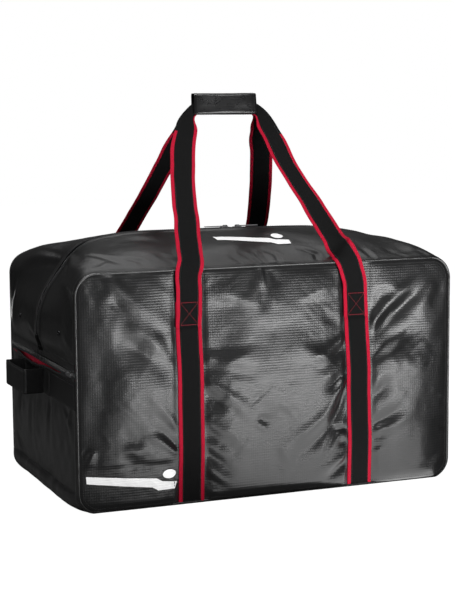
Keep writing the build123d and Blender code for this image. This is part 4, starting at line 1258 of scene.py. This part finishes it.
# base
x = np.linspace(-(HX - BOT_R), HX - BOT_R, 120)
y = np.linspace(-HY + 0.2, HY - 0.2, 84)
Y, X = np.meshgrid(y, x, indexing="ij")
edge = np.minimum(HY - np.abs(Y), HX - BOT_R - np.abs(X))
up = (1.4 + 1.1 * vnoise(X / 70.0, Y / 60.0, 91) + 0.5 * vnoise(X / 28.0, Y / 24.0, 92)) * (1 - np.exp(-edge / 30.0))
P = np.stack([X, Y, np.maximum(up, 0.0)], -1)
B = Build()
B.shell(P, np.stack([X, Y], -1), 2.4, 0, 1, out=-1, N=np.tile([0, 0, -1.0], P.shape[:2] + (1,)))
ob = B.obj("base_cloth", [GUSSET, INNER])
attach(ob, "bag_shell")
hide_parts("bottom_panel")


# ------------------------------------------------------------------ straps sewn to the panels
def box_x(B, x0, y, side, z0, z1, mat, half=16.5):
    n = [0.0, side, 0.0]
    for a, b in (((-half, z0), (half, z0)), ((-half, z1), (half, z1)), ((-half, z0 + 1), (half, z1 - 1)), ((-half, z1 - 1), (half, z0 + 1)),
                 ((-half, z0), (-half, z1)), ((half, z0), (half, z1))):
        p = np.linspace(0, 1, 14)[:, None]
        q = (1 - p) * np.array(a) + p * np.array(b)
        main = a[1] == b[1]
        B.stitches(np.stack([x0 + q[:, 0], np.full(14, y), q[:, 1]], -1), np.tile(n, (14, 1)), mat if main or a[0] != b[0] else mat + 1,
                   pitch=3.3, length=2.7, r=0.5 if main else 0.26, lift=0.1 if main else -0.05)


for side, where in ((-1, "front"), (1, "back")):
    for sx, nm in ((-1, "left"), (1, "right")):
        z = np.arange(4.0, 404.1, 4.0)
        base = HY + strap_lift(z) + 0.45
        C = np.stack([strap_centre(z, sx, side < 0) + 0.6 * vnoise(z / 90.0, 0 * z, 3 + side + sx), side * (base + 1.25), z], -1)
        B = Build()
        T, N, W = B.ribbon(C, np.tile([0.0, side, 0.0], (len(z), 1)), 27.0, thick=2.0, wave=0.35, seed=13 + side * 3 + sx, ripple=0.2)
        for w in (-17.6, 17.6):
            sel = slice(1, int((350 - 6) / 4))
            B.stitches((C + N * 1.25 + W * w)[sel], N[sel], 2, pitch=4.2, length=3.2, r=0.36, lift=-0.05)
        ob = B.obj(f"{where}_{nm}_strap_web", [WEB, RED, THREAD], recalc=True)
        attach(ob, "bag_shell")
        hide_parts(f"{where}_{nm}_strap")


# ------------------------------------------------------------------ carry handles
def handle_path(side, left_pts, right_pts, run_z=783.5, run_y=6.0):
    pts = [np.array(p, float) for p in left_pts] + [np.array(p, float) for p in right_pts[::-1]]
    return smooth_path(pts, 5.0, 3)


def lean_y(z, sag=0.0):
    t = np.clip((np.asarray(z, float) - 474.0) / (761.0 - 474.0), 0, 1)
    return 246.8 - 240.0 * t - sag * np.sin(np.pi * t)


def leg(side, rows, sag=6.0):
    out = []
    for x, z in rows:
        out.append((x, side * float(lean_y(z, sag)), z))
    return out


tail = lambda side, x: [(x, side * (HY + 5.4), 354.0), (x, side * (HY + 5.0), 380.0), (x, side * (HY + 5.0), 398.0)]
FL = tail(-1, -176.0) + [(-176.3, -247.4, 410.0), (-176.5, -248.8, 428.0), (-176.5, -247.8, 446.0), (-176.0, -249.4, 462.0), (-173.5, -249.6, 473.0), (-169.5, -243.5, 483.0)] + \
    leg(-1, [(-163.5, 506), (-154, 544), (-140.5, 605), (-130.5, 647), (-117, 690), (-105.0, 720)]) + [(-93.0, -14.0, 743.0), (-82.0, -6.5, 762.0), (-67.0, -3.9, 776.0), (-46.0, -3.5, 783.0)]
FR = tail(-1, 187.0) + [(186.0, -247.4, 410.0), (183.5, -248.8, 428.0), (178.0, -248.2, 446.0), (172.5, -249.8, 462.0), (167.0, -249.4, 474.0), (163.5, -243.0, 484.0)] + \
    leg(-1, [(157, 506), (147.5, 532), (139.5, 562), (131.0, 595), (120.0, 623), (105.0, 665), (100.0, 706)], 9.0) + [(97.0, -14.0, 738.0), (88.0, -6.5, 759.0), (71.0, -3.9, 775.0), (46.0, -3.5, 783.0)]
BL = tail(1, -181.0) + [(-180.0, 247.4, 410.0), (-176.0, 248.8, 430.0), (-168.0, 248.8, 452.0), (-159.0, 249.2, 473.0), (-154.0, 243.0, 483.0)] + \
    leg(1, [(-147, 502), (-137, 537), (-125, 572), (-115, 607), (-106, 641), (-96, 674), (-90, 708)]) + [(-84.0, 14.0, 740.0), (-77.0, 6.5, 762.0), (-64.0, 3.9, 776.0), (-44.0, 3.5, 783.0)]
BR = tail(1, 181.0) + [(180.0, 247.4, 410.0), (178.0, 248.8, 430.0), (175.0, 248.8, 452.0), (171.5, 249.2, 473.0), (169.0, 243.0, 484.0)] + \
    leg(1, [(166, 511), (157, 545), (147, 582), (132, 632), (115, 682), (102, 711)]) + [(93.0, 14.0, 741.0), (82.0, 6.5, 764.0), (66.0, 3.9, 776.0), (44.0, 3.5, 783.0)]


def make_handle(side, Lp, Rp, name, node):
    C = handle_path(side, Lp, Rp)
    n = len(C)
    T = np.gradient(C, axis=0)
    T /= np.linalg.norm(T, axis=1, keepdims=True)
    # outward side: away from the bag, leaning with the legs
    N = np.tile([0.0, float(side), 0.0], (n, 1))
    lean = sstep(470, 500, C[:, 2]) * sstep(770, 735, C[:, 2])
    N[:, 2] += 0.8 * lean
    s = arclen(C)
    z = C[:, 2]
    near = sstep(735, 770, z) * sstep(104, 76, np.abs(C[:, 0]))
    half_in = 27.0 - 15.5 * near
    half_out = 27.0 - 7.0 * sstep(684, 738, z) - 7.0 * sstep(736, 772, z)
    if side > 0:
        slim = 1 - 0.08 * sstep(476, 500, z)
        half_in, half_out = half_in * slim, half_out * slim
    half = (half_out, half_in) if side < 0 else (half_in, half_out)
    tw = np.zeros(n)
    z, x = C[:, 2], C[:, 0]
    if side < 0:
        tw += np.where(x > 0, 0.92, 0.0) * np.exp(-((z - 494) / 10.0) ** 2)
        tw += np.where(x > 0, -0.16, 0.10) * np.exp(-((z - 640) / 70.0) ** 2)
        tw += np.where(x < 0, -0.14, 0.0) * np.exp(-((z - 470) / 14.0) ** 2)
    else:
        tw += np.where(x > 0, 0.36, 0.10) * np.exp(-((z - 590) / 95.0) ** 2)
    B = Build()
    T, N, W = B.ribbon(C, N, half, twist=tw, wave=1.5, seed=100 + side, thick=2.0, hide=(z > 723, side))
    # box stitching on the sewn tails
    for sx, xs in ((-1, Lp[0][0]), (1, Rp[0][0])):
        box_x(B, xs, side * (HY + 7.7), side, 358.5, 402.5, 2, 18.0)
    # edge stitching along the free webbing
    for w in (-17.8, 17.8):
        off = (w / 27.0) * (half[0] if w < 0 else half[1])
        low = z < 740
        for part in (slice(0, int(np.argmin(low))), slice(n - int(np.argmin(low[::-1])), n)):
            B.stitches((C + N * 1.15 + W * off[:, None])[part], N[part], 3, pitch=4.2, length=3.2, r=0.36, lift=-0.05)
    ob = B.obj(name, [WEB, RED, RED_THREAD, THREAD], recalc=True)
    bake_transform(ob)
    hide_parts(node)
    return ob


make_handle(-1, FL, FR, "front_handle_web", "front_handle")
make_handle(1, BL, BR, "back_handle_web", "back_handle")


# ------------------------------------------------------------------ grip wrap
def grip_half(name, body, node, flap):
    """The wrap is a padded sleeve in two parts that meet along the front top edge and under the back."""
    gy, z0, z1, th = 20.0, 763.4, 808.4, 3.2
    # outer line of the section, clockwise seen from +X: from the front top edge down the front, under and up the back
    def ring(inset):
        r = 6.0 - inset * 0.6
        ys, zs = gy - inset, ((z0 + inset), (z1 - inset))
        pts = []
        def arc(cy, cz, a0, a1, k=6):
            for a in np.linspace(a0, a1, k):
                pts.append((cy + r * math.cos(a), cz + r * math.sin(a)))
        if not flap:
            pts.append((-ys, zs[1] - 5.0))
            for z in np.linspace(zs[1] - 9, zs[0] + r + 2, 6):
                pts.append((-ys, z))
            arc(-ys + r, zs[0] + r, math.pi, 1.5 * math.pi)
            for yv in np.linspace(-ys + r + 3, ys - 4.5, 7):
                pts.append((yv, zs[0]))
        else:
            pts.append((-ys, zs[1] - 4.4))
            pts.append((-ys + 0.15, zs[1] - 3.2))
            rr = r
            arc(-ys + r, zs[1] - r, math.pi - 0.35, 0.5 * math.pi, 5)
            for yv in np.linspace(-ys + r + 3, ys - r - 3, 6):
                pts.append((yv, zs[1]))
            arc(ys - r, zs[1] - r, 0.5 * math.pi, 0.0)
            for z in np.linspace(zs[1] - r - 3, zs[0] + 5.2, 6):
                pts.append((ys, z))
        return np.array(pts)
    outer, inner = ring(0.0), ring(th)
    gx = np.linspace(-69.5, 69.5, 48)
    B = Build()
    n, m = len(gx), len(outer)
    X = gx[:, None] + 0 * outer[None, :, 0]
    taper = 1 - 0.035 * (np.abs(gx) / 69.5) ** 6
    swell = 1.0 * np.abs(gx / 69.5) ** 3 + 0.4
    dents = 0.9 * vnoise(gx[:, None] / 46.0, np.arange(m)[None] / 3.0, 121 + flap) + 0.12 * vnoise(gx[:, None] / 9.0, np.arange(m)[None] / 2.2, 125 + flap)
    cy, cz = outer[:, 0], outer[:, 1] - 783.5
    rad = np.hypot(cy, cz)
    k = (taper[:, None] * (rad[None] + swell[:, None] * 0.6 + dents - 0.6)) / rad[None]
    flat = 0.50 + 0.34 * np.abs(np.cos(gx / 69.5 * np.pi / 2))[:, None] ** 0.6
    X = X + 3.2 * sstep(48, 69.5, X) * (1 - (outer[None, :, 1] - z0) / (z1 - z0))
    Po = np.stack([X, cy[None] * k * flat, 783.5 + cz[None] * k], -1)
    k2 = taper[:, None] + 0 * rad[None]
    Pi = np.stack([X, (np.abs(outer[None, :, 0]) * flat - th) * np.sign(outer[None, :, 0]) * k2 * (np.abs(inner[None, :, 0]) / np.maximum(np.abs(outer[None, :, 0]) - th * 0.9, 1.0)).clip(0, 1), 783.5 + (inner[None, :, 1] - 783.5) * k2], -1)
    s = np.concatenate([[0], np.cumsum(np.hypot(*np.diff(outer, axis=0).T))])
    uv = np.stack([X, np.broadcast_to(s[None] + (60 if flap else 0), X.shape)], -1)
    nn = normals(Po)
    c = Po[n // 2, m // 2] - np.array([0, 0, 783.5])
    sign = 1 if nn[n // 2, m // 2] @ c > 0 else -1
    i = np.arange(n * m).reshape(n, m)
    j = i + n * m
    a, b, c_, d = i[:-1, :-1], i[:-1, 1:], i[1:, 1:], i[1:, :-1]
    top = np.stack([a, b, c_, d], -1).reshape(-1, 4)
    low = np.stack([a, d, c_, b], -1).reshape(-1, 4) + n * m
    rims = [np.stack([p[1:], p[:-1], p[:-1] + n * m, p[1:] + n * m], -1) for p in (i[0], i[-1][::-1], i[:, 0][::-1], i[:, -1])]
    F = np.concatenate([top, low] + rims)
    B.add(np.concatenate([Po.reshape(-1, 3), Pi.reshape(-1, 3)]), F.tolist(), 0, np.concatenate([uv.reshape(-1, 2)] * 2))
    N = nn * sign
    for col in ((4,) if not flap else (3,)):
        B.stitches(Po[2:-2, col], N[2:-2, col], 1, pitch=3.8, length=2.9, r=0.45)
    col = m - 2
    B.stitches(Po[2:-2, col], N[2:-2, col], 1, pitch=3.8, length=2.9, r=0.45)
    for row in (2, n - 3):
        B.stitches(Po[row, 1:-1], N[row, 1:-1], 1, pitch=3.8, length=2.9, r=0.45)
    ob = B.obj(name, [VINYL, THREAD], sharp=55, recalc=True)
    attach(ob, body)
    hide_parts(node)


grip_half("grip_sleeve", "front_handle", "grip_wrap", False)
grip_half("grip_closing_flap", "grip_flap", "grip_flap", True)


# ------------------------------------------------------------------ printed pictograms
def inside_poly(x, y, poly):
    c = np.zeros(x.shape, bool)
    n = len(poly)
    for i in range(n):
        (x1, y1), (x2, y2) = poly[i], poly[(i + 1) % n]
        hit = ((y1 > y) != (y2 > y)) & (x < (x2 - x1) * (y - y1) / ((y2 - y1) if y2 != y1 else 1e-9) + x1)
        c ^= hit
    return c


def offset_poly(poly, d):
    """Moves each edge of a closed polygon outward by d."""
    P = np.asarray(poly, float)
    area = 0.5 * np.sum(P[:, 0] * np.roll(P[:, 1], -1) - np.roll(P[:, 0], -1) * P[:, 1])
    if area < 0:
        P = P[::-1]
    out = []
    n = len(P)
    for i in range(n):
        a, b, c = P[i - 1], P[i], P[(i + 1) % n]
        n1 = np.array([b[1] - a[1], a[0] - b[0]]); n1 = n1 / np.linalg.norm(n1)
        n2 = np.array([c[1] - b[1], b[0] - c[0]]); n2 = n2 / np.linalg.norm(n2)
        h = n1 + n2
        h = h / (h @ h) * 2
        out.append(b + h * d)
    return np.array(out)


def refine(poly, step=4.0):
    out = []
    P = np.asarray(poly, float)
    for a, b in zip(P, np.roll(P, -1, 0)):
        k = max(1, int(np.linalg.norm(b - a) / step))
        for t in range(k):
            out.append(a + (b - a) * t / k)
    return np.array(out)


from mathutils.geometry import delaunay_2d_cdt


def flat_shape(poly, step=4.0):
    """Triangles filling a polygon, with inner points so that it can follow a curved surface."""
    ring = refine(poly, step)
    lo, hi = ring.min(0), ring.max(0)
    gx, gy = np.meshgrid(np.arange(lo[0] + 1, hi[0], step), np.arange(lo[1] + 1, hi[1], step))
    gx, gy = gx.ravel(), gy.ravel()
    inner = offset_poly(poly, -1.2)
    keep = inside_poly(gx, gy, inner)
    pts = [Vector(p) for p in ring] + [Vector((a, b)) for a, b in zip(gx[keep], gy[keep])]
    edges = [(i, (i + 1) % len(ring)) for i in range(len(ring))]
    v, e, f, *_ = delaunay_2d_cdt(pts, edges, [list(range(len(ring)))], 1, 1e-4)
    return np.array([list(p) for p in v]), [list(t) for t in f]


def pictogram(name, k, place, body, node, thick=0.5):
    stick = [(-90, 19), (-89, 5), (40, -12), (52, -19), (87, -19), (93, -6), (61, -2), (49, 5)]
    stick = np.array(stick, float) * k
    a = np.linspace(0, 2 * np.pi, 28, endpoint=False)
    puck = np.stack([76 * k + 14.5 * k * np.cos(a), 11 * k + 8.5 * k * np.sin(a)], -1)
    B = Build()
    for poly in (stick, puck):
        for grow, mat, lift in ((1.7, 1, 0.15), (0.0, 0, 0.40)):
            v, f = flat_shape(offset_poly(poly, grow), 4.0)
            top = place(v, lift + 0.35)
            low = place(v, lift - 0.15)
            nv = len(v)
            count = {}
            for t in f:
                for q in range(len(t)):
                    e = (t[q], t[(q + 1) % len(t)])
                    count[e] = 1
            rim = [e for e in count if (e[1], e[0]) not in count]
            F = [list(t) for t in f] + [[i + nv for i in t[::-1]] for t in f] + [[b, a_, a_ + nv, b + nv] for a_, b in rim]
            B.add(np.concatenate([top, low]), F, mat, np.concatenate([v, v]))
    ob = B.obj(name, [WHITE_INK, BLACK_INK], sharp=35, recalc=True)
    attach(ob, body)
    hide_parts(node)
    return ob


def front_place(v, lift):
    x, z = v[:, 0] - 300.0, v[:, 1] + 56.0
    h = panel_height(x, z, True)
    return np.stack([x, -(HY + h + lift), z], -1)


def top_place(v, lift):
    x = v[:, 0] + 14.0
    y = v[:, 1] * 2.1 - 118.0
    P = on_gusset(x, y)
    P[:, 2] += lift
    return P


pictogram("front_stick_and_puck", 183.0 / 180.0, front_place, "bag_shell", "front_stick_print")
pictogram("top_stick_and_puck", 150.0 / 180.0, top_place, "front_flap", "top_stick_print")

# ------------------------------------------------------------------ CAD hardware keeps its shape, with better metal
for n, m in (("main_slider_left", DARK_METAL), ("main_slider_right", DARK_METAL), ("main_pull_left", BRIGHT_METAL), ("main_pull_right", BRIGHT_METAL),
             ("left_pocket_slider", DARK_METAL), ("right_pocket_slider", DARK_METAL), ("left_pocket_pull", DARK_METAL), ("right_pocket_pull", DARK_METAL)):
    ob = nodes[n]
    ob.data.materials.clear()
    ob.data.materials.append(m)

# ------------------------------------------------------------------ floor, light, camera
me = bpy.data.meshes.new("floor")
R = 9.0
me.from_pydata([(-R, -R, -0.0005), (R, -R, -0.0005), (R, R, -0.0005), (-R, R, -0.0005)], [], [(0, 1, 2, 3)])
floor = bpy.data.objects.new("floor", me)
scene.collection.objects.link(floor)
fm = Nodes("floor_paper", (0.86, 0.86, 0.86), 0.9, spec=0.0)
fm.finish(fm.colour(fm.ramp(fm.noise(fm.mm("Object"), 260.0, 2.0), 0.3, 0.7, 0.0, 1.0), (0.115, 0.115, 0.115), (0.130, 0.130, 0.130)))
# the paper glows white for camera rays only, so it looks white to the camera without lighting the bag
glow = fm.new("ShaderNodeEmission")
glow.inputs["Color"].default_value = (1, 1, 1, 1)
seen = fm.new("ShaderNodeLightPath")
fm.link(fm.math("MULTIPLY", seen.outputs["Is Camera Ray"], 1.0), glow.inputs["Strength"])
both = fm.new("ShaderNodeAddShader")
fm.link(fm.b.outputs[0], both.inputs[0])
fm.link(glow.outputs[0], both.inputs[1])
fm.link(both.outputs[0], fm.t.nodes["Material Output"].inputs["Surface"])
me.materials.append(fm.mat)

world = bpy.data.worlds.new("studio")
scene.world = world
world.use_nodes = True
wt = world.node_tree
wt.nodes.clear()
out = wt.nodes.new("ShaderNodeOutputWorld")
mix = wt.nodes.new("ShaderNodeMixShader")
lp = wt.nodes.new("ShaderNodeLightPath")
dim = wt.nodes.new("ShaderNodeBackground")
dim.inputs["Color"].default_value = (1, 1, 1, 1)
dim.inputs["Strength"].default_value = 0.05
white = wt.nodes.new("ShaderNodeBackground")
white.inputs["Color"].default_value = (1, 1, 1, 1)
white.inputs["Strength"].default_value = 1.0
wt.links.new(lp.outputs["Is Camera Ray"], mix.inputs[0])
wt.links.new(dim.outputs[0], mix.inputs[1])
wt.links.new(white.outputs[0], mix.inputs[2])
wt.links.new(mix.outputs[0], out.inputs[0])


def softbox(name, at, look, size, power, spin=0.0):
    light = bpy.data.lights.new(name, "AREA")
    light.shape = "RECTANGLE"
    light.size, light.size_y = size
    light.energy = power
    ob = bpy.data.objects.new(name, light)
    ob.location = at
    ob.rotation_mode = "QUATERNION"
    ob.rotation_quaternion = Quaternion((0.0, 0.0, 1.0), spin) @ (Vector(look) - Vector(at)).to_track_quat("-Z", "Y")
    scene.collection.objects.link(ob)
    return ob


far_floor = softbox("softbox_floor_far", (0.75, -1.905, 0.004), (0.75, -1.905, 1.0), (1.05, 1.5), 80, math.radians(23.6))
near_floor = softbox("softbox_floor_near", (0.17, -0.78, 0.003), (0.17, -0.78, 1.0), (0.80, 0.98), 5.8, math.radians(23.6))
for ob in (far_floor, near_floor):
    ob.visible_camera = False
softbox("softbox_front_high", (-0.6, -2.2, 3.3), (0.0, 0.0, 0.4), (2.4, 1.8), 152)
softbox("softbox_top", (0.25, 1.3, 2.5), (0.0, 0.0, 0.45), (2.4, 1.6), 14)
softbox("strip_left", (-2.3, -1.3, 0.5), (-0.4, -0.2, 0.3), (0.3, 0.9), 6)
back_low = softbox("strip_back", (0.05, 2.6, 0.17), (0.05, 0.0, 0.17), (1.0, 0.3), 5.0)
back_low.visible_camera = False

cam_data = bpy.data.cameras.new("camera")
cam_data.lens = 93.7
cam_data.sensor_width = 36.0
cam_data.clip_start, cam_data.clip_end = 0.1, 60.0
cam = bpy.data.objects.new("camera", cam_data)
scene.collection.objects.link(cam)
az, el, ro = math.radians(-22.10), math.radians(7.248), math.radians(-0.41)
back = Vector((math.sin(az) * math.cos(el), -math.cos(az) * math.cos(el), math.sin(el)))
right = Vector((math.cos(az), math.sin(az), 0))
upv = back.cross(right)
Rv = right * math.cos(ro) + upv * math.sin(ro)
Uv = -right * math.sin(ro) + upv * math.cos(ro)
cam.matrix_world = Matrix(((Rv[0], Uv[0], back[0], -1.2557), (Rv[1], Uv[1], back[1], -3.1059), (Rv[2], Uv[2], back[2], 0.7884), (0, 0, 0, 1)))
scene.camera = cam
scene.view_settings.view_transform = "Standard"
scene.view_settings.look = "None"
scene.view_settings.exposure = 0.0
scene.view_settings.gamma = 1.0
